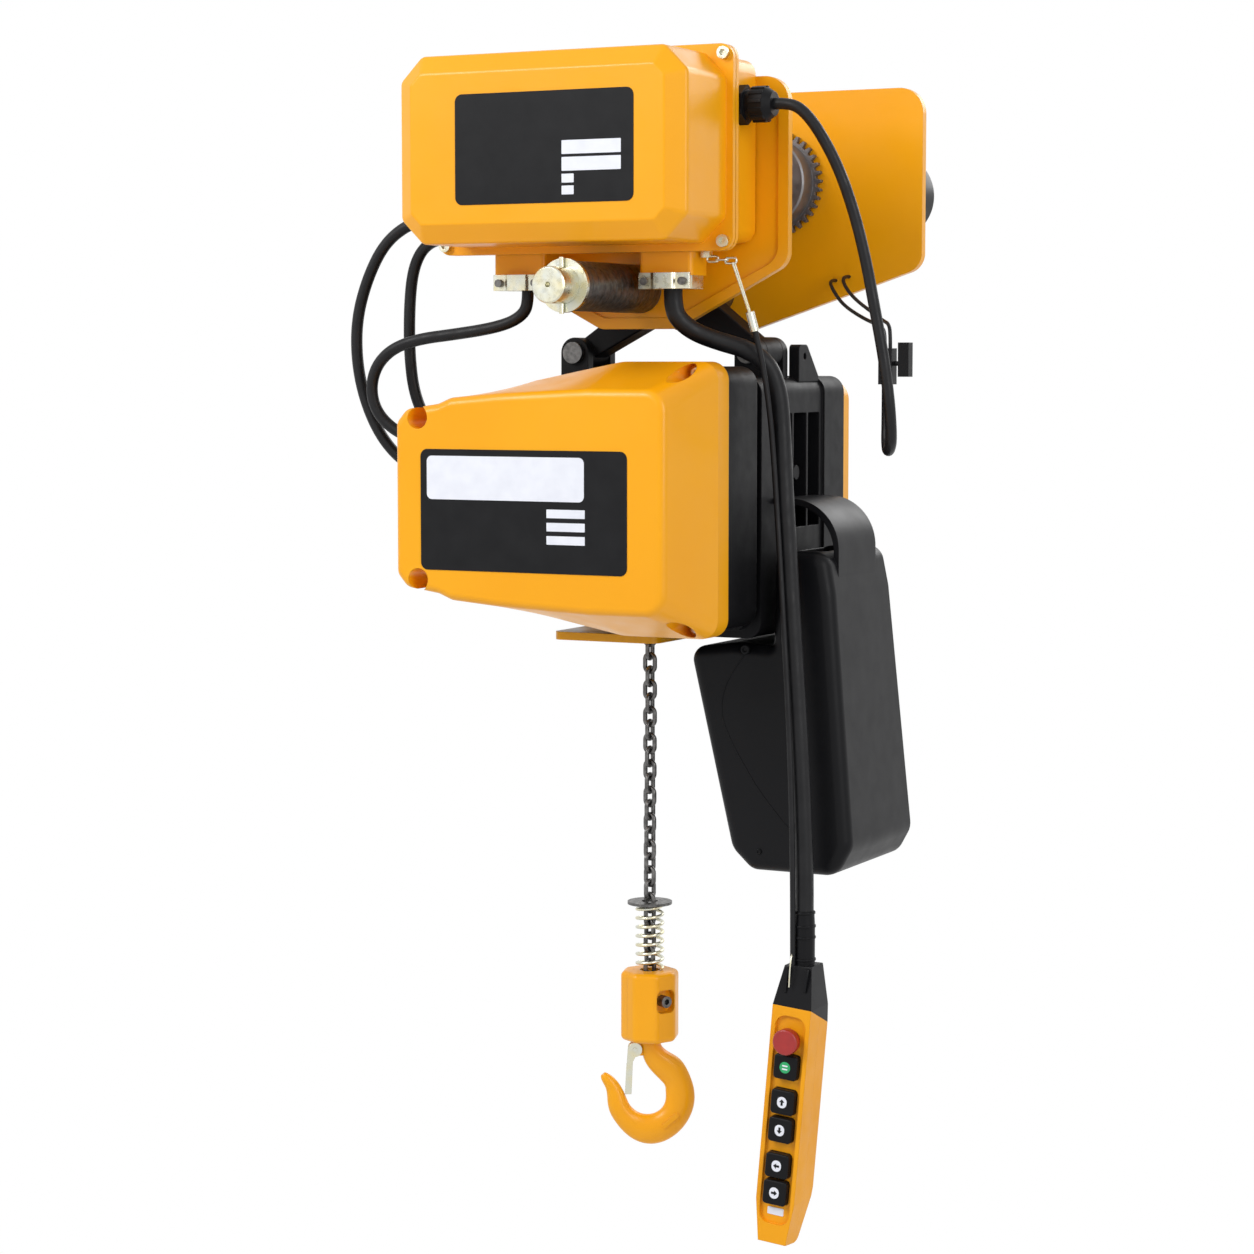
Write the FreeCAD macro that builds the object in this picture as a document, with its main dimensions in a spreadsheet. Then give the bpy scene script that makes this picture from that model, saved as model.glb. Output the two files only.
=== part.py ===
"""Electric chain hoist on a motorised beam trolley, for a one tonne load.

The beam runs along X. Y points away from the side with the trolley box and Z is up. The origin is
on the beam's centre plane, at the top face of its lower flange, where the wheels roll.
"""
import FreeCAD
import Part
import math
import os
import re

os.makedirs("parts", exist_ok=True)
doc = FreeCAD.newDocument("chain_hoist")
sheet = doc.addObject("Spreadsheet::Sheet", "Dims")
V = FreeCAD.Vector
X_AXIS = V(1, 0, 0)
Y_AXIS = V(0, 1, 0)
Z_AXIS = V(0, 0, 1)

# Driving dimensions in millimetres, or in degrees and counts where the alias says so.
SIZES = (
    ("plate_gap_half", 90, "inner face of each side plate from the beam's centre plane"),
    ("plate_thickness", 7, "pressed web of a side plate"),
    ("plate_rim", 3, "height of the rim band above the web"),
    ("plate_rim_width", 12, "width of the rim band"),
    ("plate_half_width", 176, "half the front plate's width"),
    ("plate_top", 151, "top edge of the plates"),
    ("plate_shoulder", -45, "lower end of the plates' upright edges"),
    ("plate_bottom", -113, "flat lower edge of the plates"),
    ("plate_bottom_half", 46, "half the flat lower edge"),
    ("plate_corner", 28, "radius of the plates' upper corners"),
    ("drive_plate_right", 252, "right edge of the rear plate, which carries the travel drive"),
    ("wheel_tread", 50, "tread radius of a wheel"),
    ("wheel_x", 75, "wheel axle from the shaft, along the beam"),
    ("wheel_tread_start", 56, "inner end of the tread, from the beam's centre plane"),
    ("wheel_flange_start", 81.5, "inner face of the wheel's outer flange"),
    ("wheel_flange_end", 88, "outer face of the wheel's outer flange"),
    ("wheel_flange", 58, "radius of an idle wheel's flange"),
    ("axle_radius", 11, "wheel axle"),
    ("running_gap", 0.05, "radial clearance of a bore that turns on its pin"),
    ("tooth_count", 38, "teeth of a driven wheel"),
    ("pinion_teeth", 16, "teeth of the travel pinion"),
    ("gear_module", 3, "module of the travel gears"),
    ("shaft_radius", 19, "suspension shaft"),
    ("shaft_z", -70, "height of the suspension shaft"),
    ("shaft_front", -306, "front end of the suspension shaft"),
    ("shaft_back", 128, "rear end of the suspension shaft"),
    ("spacer_radius", 26, "outer radius of the shaft's spacer rings"),
    ("spacer_width", 13, "width of one spacer ring"),
    ("box_center_x", -28, "middle of the trolley box"),
    ("box_center_z", 72.5, "middle height of the trolley box"),
    ("box_half_width", 176, "half width of the box's flange"),
    ("box_half_height", 106, "half height of the box's flange"),
    ("box_flange_y", -170, "joint between the box's case and cover"),
    ("box_flange_thick", 6, "thickness of each box flange"),
    ("box_front", -282, "front face of the box cover"),
    ("cover_inset", 8, "box cover's walls in from its flange"),
    ("box_corner", 26, "cut corners of the box cover"),
    ("box_bevel", 20, "bevel round the front face, measured across it"),
    ("box_bevel_deep", 14, "bevel round the front face, measured along Y"),
    ("box_wall", 4, "wall of the box"),
    ("boss_x_left", -109, "left cable outlet under the box"),
    ("boss_x_right", 66, "right cable outlet under the box"),
    ("boss_y", -150, "both cable outlets, from the beam's centre plane"),
    ("boss_bottom", -58, "lower face of the cable outlets"),
    ("body_center_x", -38.5, "middle of the hoist body"),
    ("body_center_z", -293, "middle height of the hoist body"),
    ("body_half_width", 173.5, "half width of the hoist covers"),
    ("body_half_height", 145, "half height of the hoist covers"),
    ("cover_back_y", -158, "rear rim of the front cover"),
    ("cover_front_y", -272, "face of the front cover"),
    ("case_inset", 5, "gear case in from the covers, at each side"),
    ("case_bottom", -447, "underside of the gear case"),
    ("switchgear_deep", 190, "depth of the room for the switchgear, behind the front cover"),
    ("case_back_y", 155, "rear rim of the gear case"),
    ("rear_cover_y", 228, "rear face of the motor cover"),
    ("yoke_lug_left", -114, "left lug of the yoke"),
    ("yoke_lug_right", 100, "right lug of the yoke"),
    ("yoke_lug_z", -138, "height of the yoke's lugs"),
    ("yoke_half_width", 20, "half the yoke's thickness"),
    ("chain_x", -18, "load chain, along the beam"),
    ("chain_y", -36, "load chain, across the beam"),
    ("chain_wire", 5, "wire of the load chain"),
    ("chain_pitch", 15, "inner length of a link"),
    ("chain_links", 29, "links from inside the case to the hook block"),
    ("sprocket_radius", 36, "rim of the load sprocket"),
    ("sprocket_z", -300, "height of the load sprocket's axis"),
    ("link_depth", 14, "middle of the lowest link, below the hook block's top"),
    ("pin_drop", 1.4, "chain pin, below the middle of the lowest link"),
    ("block_top", -828, "top of the hook block"),
    ("block_bottom", -907, "underside of the hook block"),
    ("block_radius", 31, "half width of the eight-sided hook block"),
    ("block_turn", -28, "turn of the hook block about the chain, in degrees"),
    ("spring_wire", 3.6, "wire of the limit spring"),
    ("spring_radius", 14.5, "mean radius of the limit spring"),
    ("spring_turns", 7, "turns of the limit spring"),
    ("washer_z", -753, "underside of the limit washer"),
    ("washer_radius", 25, "radius of the limit washer"),
    ("hook_turn", 27, "turn of the hook about its stem, in degrees"),
    ("hook_thickness", 20, "thickness of the hook's bowl"),
    ("hook_depth", 62, "middle of the hook's bowl, below the block"),
    ("hook_outer", 52, "outer radius of the hook's bowl, at the right"),
    ("hook_bowl", 20, "radius inside the hook's bowl, at the right"),
    ("latch_eye", 8, "radius of the latch's eye"),
    ("bag_front", -60, "front face of the chain bag"),
    ("bag_back", 122, "rear face of the chain bag, at its foot"),
    ("bag_waist", 98, "rear face of the chain bag, at its shoulder"),
    ("bag_bottom", -702, "underside of the chain bag"),
    ("bag_shoulder", -352, "shoulder of the chain bag, round its mouth"),
    ("bag_width", 76, "chain bag beyond the gear case, at its shoulder"),
    ("pendant_x", 191, "top of the pendant, along the beam"),
    ("pendant_y", -90, "middle of the pendant, across the beam"),
    ("pendant_z", -836, "top of the pendant"),
    ("pendant_tilt", 5, "lean of the pendant, in degrees"),
    ("pendant_width", 45, "width of the pendant"),
    ("pendant_depth", 49, "depth of the pendant"),
    ("pendant_length", 265, "length of the pendant's case"),
    ("button_width", 27, "side of a square button"),
    ("stop_radius", 14, "radius of the stop button"),
    ("sleeve_radius", 11.5, "sleeve over the cable's end, on the pendant's boot"),
    ("sleeve_length", 58, "length of that sleeve"),
    ("cable_thick", 20, "diameter of the pendant cable"),
    ("cable_thin", 13, "diameter of the link cables"),
    ("cable_supply", 12, "diameter of the supply cable"),
    ("wire_strain", 6, "diameter of the sheathed strain wire"),
    ("lead_diameter", 4, "diameter of the two thin leads"),
)


ALIASES = [row[0] for row in SIZES]


def fill_sheet():
    """Write each driving dimension as text, with its alias."""
    for row, (alias, value, note) in enumerate(SIZES, start=1):
        sheet.set("A%d" % row, alias)
        sheet.set("B%d" % row, str(value))
        sheet.set("C%d" % row, note)
        sheet.setAlias("B%d" % row, alias)
    doc.recompute()


class SheetReader:
    """Gives each driving dimension of the sheet as a number."""

    def __getattr__(self, alias):
        return float(sheet.get(alias))


fill_sheet()
d = SheetReader()
parts = []


def keep(obj, label):
    """Name a sub-part and list it for export."""
    obj.Label = label
    parts.append(obj)
    return obj


def bind(obj, prop, expression):
    """Bind a property to the sheet; the expression's aliases get the sheet's name."""
    named = re.sub(r"[a-z_]+", sheet_name, expression)
    obj.setExpression(prop, named)


def sheet_name(word):
    """An alias as the sheet's own name for it; any other word stays."""
    text = word.group()
    if text in ALIASES:
        return "Dims." + text
    return text


def set_size(obj, prop, value):
    """Set a length from a number, or bind it when it is an expression."""
    if isinstance(value, str):
        bind(obj, prop, value)
    else:
        setattr(obj, prop, value)


def turned(axis, degrees):
    """A rotation of so many degrees about an axis."""
    return FreeCAD.Rotation(axis, degrees)


ALONG = {
    "X": turned(Y_AXIS, 90),
    "-X": turned(Y_AXIS, -90),
    "Y": turned(X_AXIS, -90),
    "-Y": turned(X_AXIS, 90),
    "Z": turned(X_AXIS, 0),
    "-Z": turned(X_AXIS, 180),
}


def cylinder(name, radius, height, at, along="Z"):
    """A Part cylinder that starts at a point and runs along an axis."""
    obj = doc.addObject("Part::Cylinder", name)
    set_size(obj, "Radius", radius)
    set_size(obj, "Height", height)
    obj.Placement = FreeCAD.Placement(V(*at), ALONG[along])
    return obj


def box(name, size, middle):
    """A Part box of three sizes round its middle."""
    obj = doc.addObject("Part::Box", name)
    obj.Length, obj.Width, obj.Height = size
    corner = V(*middle) - V(*size) * 0.5
    obj.Placement = FreeCAD.Placement(corner, FreeCAD.Rotation())
    return obj


def cut(name, base, tool):
    """The base less the tool."""
    obj = doc.addObject("Part::Cut", name)
    obj.Base = base
    obj.Tool = tool
    return obj


def fuse(name, shapes):
    """One solid made of several that meet."""
    obj = doc.addObject("Part::MultiFuse", name)
    obj.Shapes = shapes
    return obj


def group(name, shapes):
    """Separate solids that share a node."""
    obj = doc.addObject("Part::Compound", name)
    obj.Links = shapes
    return obj


def ring(name, outer, inner, height, at, along="Z"):
    """A flat ring or sleeve."""
    start = V(*at)
    step = ALONG[along].multVec(Z_AXIS)
    early = start - step
    disc = cylinder(name + "_disc", outer, height, at, along)
    bore = cylinder(name + "_bore", inner, 400, tuple(early), along)
    return cut(name, disc, bore)


def hex_socket_screw(name, head, height, stem, length, at, along):
    """A socket head screw: at is the seat under its head, along points out of the head."""
    step = ALONG[along].multVec(Z_AXIS)
    seat = V(*at)
    head_part = cylinder(name + "_head", head, height, tuple(seat), along)
    stem_part = cylinder(name + "_stem", stem, length + 1, tuple(seat - step * length), along)
    whole = fuse(name + "_whole", [head_part, stem_part])
    socket = doc.addObject("Part::Prism", name + "_socket")
    socket.Polygon = 6
    socket.Circumradius = head * 0.55
    socket.Height = height
    socket.Placement = FreeCAD.Placement(seat + step * height * 0.45, ALONG[along])
    return cut(name, whole, socket)


def body_of(label):
    """A new PartDesign body that is kept as a sub-part."""
    obj = doc.addObject("PartDesign::Body", label)
    return keep(obj, label)


def piece_of(label):
    """A new PartDesign body that goes into a group with others."""
    obj = doc.addObject("PartDesign::Body", label)
    obj.Label = label
    return obj


NORMAL_SIGN = {"XY_Plane": 1, "XZ_Plane": -1, "YZ_Plane": 1}


def sketch(body, role, edges, level=0.0):
    """A sketch on one of the body's origin planes, moved to a level along the plane's axis."""
    drawing = body.newObject("Sketcher::SketchObject", body.Name + "_sketch")
    planes = [plane for plane in body.Origin.OriginFeatures if plane.Role == role]
    drawing.AttachmentSupport = [(planes[0], "")]
    drawing.MapMode = "FlatFace"
    shift = V(0, 0, level * NORMAL_SIGN[role])
    drawing.AttachmentOffset = FreeCAD.Placement(shift, FreeCAD.Rotation())
    for edge in edges:
        drawing.addGeometry(edge, False)
    drawing.Visibility = False
    return drawing


def pad(body, role, edges, level, length, toward):
    """A pad from a level along the plane's axis, toward the axis' plus or minus side."""
    feature = body.newObject("PartDesign::Pad", body.Name + "_pad")
    feature.Profile = sketch(body, role, edges, level)
    set_size(feature, "Length", length)
    feature.Reversed = toward * NORMAL_SIGN[role] < 0
    return feature


def pocket(body, role, edges, level, length, toward):
    """A pocket cut from a level along the plane's axis; it must take material away."""
    doc.recompute()
    before = body.Shape.Volume
    feature = body.newObject("PartDesign::Pocket", body.Name + "_pocket")
    feature.Profile = sketch(body, role, edges, level)
    set_size(feature, "Length", length)
    feature.Reversed = toward * NORMAL_SIGN[role] > 0
    doc.recompute()
    if "Invalid" in feature.State or body.Shape.Volume > before - 1:
        raise ValueError("a pocket of " + body.Label + " cuts nothing")
    return feature


def loft(body, role, sections):
    """An additive loft through (edges, level) sections."""
    drawings = [sketch(body, role, edges, level) for edges, level in sections]
    feature = body.newObject("PartDesign::AdditiveLoft", body.Name + "_loft")
    feature.Profile = drawings[0]
    feature.Sections = drawings[1:]
    feature.Ruled = True
    return feature


def revolve(body, edges):
    """A revolution about the Y axis of a profile given as (along Y, radius)."""
    feature = body.newObject("PartDesign::Revolution", body.Name + "_turn")
    drawing = sketch(body, "YZ_Plane", edges)
    feature.Profile = drawing
    feature.ReferenceAxis = (drawing, ["H_Axis"])
    feature.Angle = 360
    return feature


def soften(body, radius, wanted):
    """Fillet the edges of the body that the test picks, with a smaller radius where this one won't go round."""
    doc.recompute()
    base = body.Tip
    names = []
    for index, edge in enumerate(base.Shape.Edges, start=1):
        if wanted(edge):
            names.append("Edge%d" % index)
    feature = body.newObject("PartDesign::Fillet", body.Name + "_round")
    feature.Base = (base, names)
    for share in (1, 0.8, 0.6, 0.4):
        feature.Radius = radius * share
        doc.recompute()
        if feature.isValid() and feature.Shape.isValid() and body.Shape.Volume > 1:
            return feature
    raise ValueError("the edges of " + body.Label + " can't be softened")


def move(body, at, rotation=None):
    """Place a finished sub-part."""
    body.Placement = FreeCAD.Placement(V(*at), rotation or FreeCAD.Rotation())


def line(a, b):
    return Part.LineSegment(V(a[0], a[1], 0), V(b[0], b[1], 0))


def arc(a, middle, b):
    return Part.Arc(V(a[0], a[1], 0), V(middle[0], middle[1], 0), V(b[0], b[1], 0))


def circle(x, y, radius):
    return [Part.Circle(V(x, y, 0), Z_AXIS, radius)]


def outline(points):
    """A closed outline of lines, where a point (x, y, r) has its corner rounded."""
    count = len(points)
    starts = []
    ends = []
    middles = []
    for index, point in enumerate(points):
        here = V(point[0], point[1], 0)
        radius = point[2] if len(point) > 2 else 0
        back = V(*points[index - 1][:2], 0) - here
        ahead = V(*points[(index + 1) % count][:2], 0) - here
        if radius == 0:
            starts.append(here)
            ends.append(here)
            middles.append(None)
            continue
        back.normalize()
        ahead.normalize()
        half = back.getAngle(ahead) / 2
        reach = radius / math.tan(half)
        inward = back + ahead
        inward.normalize()
        center = here + inward * (radius / math.sin(half))
        starts.append(here + back * reach)
        ends.append(here + ahead * reach)
        middles.append(center - inward * radius)
    edges = []
    for index in range(count):
        if middles[index] is not None:
            edges.append(Part.Arc(starts[index], middles[index], ends[index]))
        nearer = starts[(index + 1) % count]
        if (nearer - ends[index]).Length > 1e-6:
            edges.append(Part.LineSegment(ends[index], nearer))
    return edges


def rectangle(x0, x1, y0, y1, radius=0):
    """A rectangle with equal corner radii."""
    return outline([(x0, y0, radius), (x1, y0, radius), (x1, y1, radius), (x0, y1, radius)])


def gear_outline(teeth, module, phase):
    """Straight-flanked teeth on a pitch circle; phase is the angle of a tooth's middle in degrees."""
    teeth = int(teeth)
    pitch_radius = module * teeth / 2
    tip = pitch_radius + module * 0.9
    root = pitch_radius - module * 1.15
    step = 2 * math.pi / teeth
    points = []
    for index in range(teeth):
        middle = math.radians(phase) + index * step
        for share, radius in ((-0.31, root), (-0.13, tip), (0.13, tip), (0.31, root)):
            angle = middle + share * step
            points.append((radius * math.cos(angle), radius * math.sin(angle)))
    return outline(points)


def plate_outline(right, inset=0.0):
    """Outline of a side plate, in X and Z."""
    left = -d.plate_half_width + inset
    right = right - inset
    top = d.plate_top - inset
    bottom = d.plate_bottom + inset
    corner = max(d.plate_corner - inset, 6)
    low = d.plate_bottom_half - inset * 0.3
    shoulder = d.plate_shoulder + inset * 0.4
    return outline([
        (left, top, corner),
        (left, shoulder, 22),
        (-low, bottom, 24),
        (low, bottom, 24),
        (right, shoulder, 22),
        (right, top, corner),
    ])


def side_plates():
    """Two pressed plates with a raised rim band; the rear one is wider for the travel drive."""
    for label, side, right in (
        ("front_side_plate", -1, d.plate_half_width),
        ("rear_side_plate", 1, d.drive_plate_right),
    ):
        body = body_of(label)
        inner = side * d.plate_gap_half
        face = inner + side * (d.plate_thickness + d.plate_rim)
        pad(body, "XZ_Plane", plate_outline(right), inner, "plate_thickness + plate_rim", side)
        inner_edges = plate_outline(right, d.plate_rim_width)
        pocket(body, "XZ_Plane", inner_edges, face, "plate_rim", -side)
        holes = circle(-d.wheel_x, d.wheel_tread, d.axle_radius)
        holes += circle(d.wheel_x, d.wheel_tread, d.axle_radius)
        holes += circle(0, d.shaft_z, d.shaft_radius)
        if side > 0:
            holes += circle(0, pinion_height(), 16)
        pocket(body, "XZ_Plane", holes, face, 30, -side)


def pinion_height():
    """Height of the travel pinion, which meshes with both driven wheels."""
    reach = d.gear_module * (d.tooth_count + d.pinion_teeth) / 2
    return d.wheel_tread + math.sqrt(reach * reach - d.wheel_x * d.wheel_x)


def wheel_profile(flange):
    """Half section of a wheel as (along Y, radius), its tread nearest the beam's web."""
    bore = d.axle_radius + d.running_gap
    start = d.wheel_tread_start
    back = d.wheel_flange_start
    end = d.wheel_flange_end
    tread = d.wheel_tread
    return outline([
        (start, bore),
        (end, bore),
        (end, flange - 1),
        (end - 1, flange),
        (back + 1.5, flange),
        (back, tread),
        (start + 2, tread),
        (start, tread - 2),
        (start, 34),
        (start + 8, 32),
        (start + 8, 20),
        (start, 18),
    ])


def wheels():
    """Four wheels: plain flanged ones at the front, toothed flanges on the driven pair."""
    root = d.gear_module * (d.tooth_count / 2 - 1.15)
    pitch_height = pinion_height() - d.wheel_tread
    slope = math.degrees(math.atan2(pitch_height, d.wheel_x))
    for label, side, x in (
        ("idle_wheel_left", -1, -d.wheel_x),
        ("idle_wheel_right", -1, d.wheel_x),
        ("drive_wheel_left", 1, -d.wheel_x),
        ("drive_wheel_right", 1, d.wheel_x),
    ):
        body = body_of(label)
        if side < 0:
            revolve(body, wheel_profile(d.wheel_flange))
            move(body, (x, 0, d.wheel_tread), turned(Z_AXIS, 180))
            continue
        revolve(body, wheel_profile(root))
        toward = slope if x < 0 else 180 - slope
        phase = toward + tooth_phase(toward)
        teeth = gear_outline(d.tooth_count, d.gear_module, phase)
        teeth += circle(0, 0, root - 12)
        pad(body, "XZ_Plane", teeth, d.wheel_flange_start, "wheel_flange_end - wheel_flange_start", 1)
        move(body, (x, 0, d.wheel_tread))


def tooth_phase(toward):
    """Turn of a driven wheel's teeth that puts a gap in front of the nearest pinion tooth."""
    step = 360 / d.pinion_teeth
    seen = toward + 180 - pinion_phase()
    off = seen - round(seen / step) * step
    return off * d.pinion_teeth / d.tooth_count + 180 / d.tooth_count


def pinion_phase():
    """Angle of one pinion tooth: it points at the left driven wheel."""
    pitch_height = pinion_height() - d.wheel_tread
    return math.degrees(math.atan2(pitch_height, d.wheel_x)) + 180


def travel_drive():
    """Pinion between the driven wheels, and the gearbox with its motor outside the rear plate."""
    height = pinion_height()
    outside = d.plate_gap_half + d.plate_thickness + d.plate_rim
    pinion = body_of("travel_pinion")
    teeth = gear_outline(d.pinion_teeth, d.gear_module, pinion_phase())
    pad(pinion, "XZ_Plane", teeth, 80.5, 8, 1)
    pad(pinion, "XZ_Plane", circle(0, 0, 10), 88.5, 40, 1)
    move(pinion, (0, 0, height))
    gearbox = body_of("travel_gearbox")
    shape = outline([(-48, 34, 20), (-48, 118, 26), (48, 118, 26), (190, 92, 30), (190, -8, 30), (60, 20, 20)])
    pad(gearbox, "XZ_Plane", shape, outside, 52, 1)
    pocket(gearbox, "XZ_Plane", circle(0, height, 10.2), outside, 34, 1)
    pad(gearbox, "XZ_Plane", circle(0, height, 26), outside + 52, 8, 1)
    pad(gearbox, "XZ_Plane", circle(138, 44, 44), outside + 52, 8, 1)
    doc.recompute()
    motor = body_of("travel_motor")
    start = outside + 60
    pad(motor, "XZ_Plane", circle(138, 44, 50), start, 8, 1)
    fins = outline(finned_circle(138, 44, 41, 46, 20))
    pad(motor, "XZ_Plane", fins, start + 8, 96, 1)
    cowl = body_of("travel_motor_cowl")
    pad(cowl, "XZ_Plane", circle(138, 44, 49), start + 104, 34, 1)
    soften(cowl, 6, lambda edge: edge.BoundBox.YMin > start + 137)
    slots = []
    for index in range(8):
        angle = 2 * math.pi * index / 8
        slots += circle(138 + 28 * math.cos(angle), 44 + 28 * math.sin(angle), 6)
    slots += circle(138, 44, 7)
    pocket(cowl, "XZ_Plane", slots, start + 138, 20, -1)


def finned_circle(x, y, inner, outer, count):
    """Points of a circle with straight cooling fins."""
    points = []
    step = 2 * math.pi / count
    for index in range(count):
        for share, radius in ((0.0, inner), (0.5, inner), (0.55, outer), (0.95, outer)):
            angle = (index + share) * step
            points.append((x + radius * math.cos(angle), y + radius * math.sin(angle)))
    return points


def axles():
    """Four axles fixed in the plates; each carries a wheel on its inner end."""
    shapes = []
    for side, along in ((-1, "-Y"), (1, "Y")):
        for x in (-d.wheel_x, d.wheel_x):
            name = "axle_%d" % len(shapes)
            start = side * (d.wheel_tread_start - 4)
            stem = cylinder(name + "_pin", "axle_radius", 45, (x, start, d.wheel_tread), along)
            keeper = cylinder(name + "_keeper", 15, 3.4, (x, start, d.wheel_tread), along)
            shapes.append(fuse(name, [stem, keeper]))
    keep(group("wheel_axles", shapes), "wheel_axles")


def suspension():
    """Shaft through both plates, with its big collar, spacer rings and split pins."""
    shaft = body_of("suspension_shaft")
    front = d.shaft_front
    radius = d.shaft_radius
    revolve(shaft, outline([
        (front, 3),
        (front + 8, 3),
        (front + 8, 0),
        (d.shaft_back, 0),
        (d.shaft_back, radius - 2),
        (d.shaft_back - 2, radius),
        (front + 1.5, radius),
        (front, radius - 1.5),
    ]))
    pocket(shaft, "XY_Plane", circle(0, front + 30, 2.6), radius + 5, 60, -1)
    move(shaft, (0, 0, d.shaft_z))
    face = -(d.plate_gap_half + d.plate_thickness)
    collar = ring("shaft_collar", 28, "shaft_radius", 5, (0, front + 34, d.shaft_z), "Y")
    keep(collar, "shaft_collar")
    rings = []
    level = front + 39
    while level + d.spacer_width < face:
        name = "spacer_%d" % len(rings)
        part = ring(name, "spacer_radius", "shaft_radius", d.spacer_width - 1.2, (0, level, d.shaft_z), "Y")
        rings.append(part)
        thin = ring(name + "_shim", "spacer_radius - 2.5", "shaft_radius", 1.2,
                    (0, level + d.spacer_width - 1.2, d.shaft_z), "Y")
        rings.append(thin)
        level += d.spacer_width
    rings.append(ring("spacer_end", "spacer_radius", "shaft_radius", face - level, (0, level, d.shaft_z), "Y"))
    inner = d.yoke_half_width + 0.6
    wide = d.plate_gap_half - inner
    rings.append(ring("spacer_inner_front", "spacer_radius", "shaft_radius", wide, (0, -inner, d.shaft_z), "-Y"))
    rings.append(ring("spacer_inner_back", "spacer_radius", "shaft_radius", wide, (0, inner, d.shaft_z), "Y"))
    keep(group("shaft_spacers", rings), "shaft_spacers")
    pin = cylinder("split_pin", 2.5, 58, (0, front + 30, d.shaft_z + 29), "-Z")
    nut = piece_of("shaft_nut")
    pad(nut, "XZ_Plane", hexagon(0, d.shaft_z, 28), d.plate_gap_half + 10, 20, 1)
    pocket(nut, "XZ_Plane", circle(0, d.shaft_z, d.shaft_radius), d.plate_gap_half + 10, 30, 1)
    keep(group("shaft_fasteners", [pin, nut]), "shaft_fasteners")


def hexagon(x, y, across_half):
    """A hexagon by its half width across flats."""
    reach = across_half / math.cos(math.pi / 6)
    points = []
    for index in range(6):
        angle = math.pi / 3 * index
        points.append((x + reach * math.cos(angle), y + reach * math.sin(angle)))
    return outline(points)


def box_rectangle(less, radius):
    """Outline of the trolley box, drawn in from its flange."""
    return rectangle(
        d.box_center_x - d.box_half_width + less,
        d.box_center_x + d.box_half_width - less,
        d.box_center_z - d.box_half_height + less,
        d.box_center_z + d.box_half_height - less,
        radius,
    )


def box_cover_outline(less, corner):
    """Outline of the trolley box's cover: a rectangle with cut and softened corners."""
    x0 = d.box_center_x - d.box_half_width + less
    x1 = d.box_center_x + d.box_half_width - less
    z0 = d.box_center_z - d.box_half_height + less
    z1 = d.box_center_z + d.box_half_height - less
    soft = corner * 0.4
    return outline([
        (x0, z0 + corner, soft), (x0 + corner, z0, soft), (x1 - corner, z0, soft), (x1, z0 + corner, soft),
        (x1, z1 - corner, soft), (x1 - corner, z1, soft), (x0 + corner, z1, soft), (x0, z1 - corner, soft),
    ])


def trolley_box():
    """Case on the front plate, gasket and bevelled cover, both hollow."""
    back = -(d.plate_gap_half + d.plate_thickness + d.plate_rim)
    case = body_of("trolley_case")
    pad(case, "XZ_Plane", box_rectangle(10, 16), back, -d.box_flange_y + back, -1)
    pad(case, "XZ_Plane", box_rectangle(0, 15), d.box_flange_y + d.box_flange_thick, "box_flange_thick", -1)
    for x in (d.boss_x_left, d.boss_x_right):
        boss = rectangle(x - 31, x + 31, d.boss_y - 20, d.boss_y + 20, 5)
        top = d.box_center_z - d.box_half_height + 11
        pad(case, "XY_Plane", boss, top, top - d.boss_bottom, -1)
    hollow = box_rectangle(10 + d.box_wall, 12)
    pocket(case, "XZ_Plane", hollow, d.box_flange_y, -d.box_flange_y + back - d.box_wall, 1)
    gasket = body_of("box_gasket")
    edges = box_rectangle(1, 14) + box_rectangle(12, 12)
    pad(gasket, "XZ_Plane", edges, d.box_flange_y, 1.5, -1)
    cover = body_of("trolley_cover")
    seat = d.box_flange_y - 1.5
    pad(cover, "XZ_Plane", box_rectangle(0, 15), seat, "box_flange_thick", -1)
    straight_end = d.box_front + d.box_bevel_deep
    walls = box_cover_outline(d.cover_inset, d.box_corner)
    face = box_cover_outline(d.cover_inset + d.box_bevel, d.box_corner * 0.45)
    pad(cover, "XZ_Plane", walls, seat - 1, seat - 1 - straight_end, -1)
    loft(cover, "XZ_Plane", [(walls, straight_end), (face, d.box_front)])
    soften(cover, 4, lambda edge: edge.BoundBox.YMax < d.box_front + 0.1)
    soften(cover, 5, lambda edge: abs(edge.BoundBox.YMin - straight_end) < 0.1 and
           abs(edge.BoundBox.YMax - straight_end) < 0.1)
    inside = box_cover_outline(d.cover_inset + d.box_bevel, d.box_corner * 0.5)
    pocket(cover, "XZ_Plane", inside, seat, seat - d.box_front - d.box_wall, -1)
    holes = []
    screws = []
    for index, (x, z) in enumerate(box_screw_points()):
        holes += circle(x, z, 3)
        at = (x, seat - d.box_flange_thick, z)
        screws.append(hex_socket_screw("box_screw_%d" % index, 6.5, 6, 3, 12, at, "-Y"))
    pocket(cover, "XZ_Plane", holes, seat - d.box_flange_thick, 7, 1)
    pocket(case, "XZ_Plane", holes, d.box_flange_y, 5, 1)
    pocket(gasket, "XZ_Plane", holes, seat, 2, 1)
    keep(group("box_screws", screws), "box_screws")


def box_screw_points():
    """Middle of each corner screw of the trolley box, in X and Z."""
    points = []
    for x_side in (-1, 1):
        for z_side in (-1, 1):
            x = d.box_center_x + x_side * (d.box_half_width - 10)
            z = d.box_center_z + z_side * (d.box_half_height - 10)
            points.append((x, z))
    return points


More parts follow.
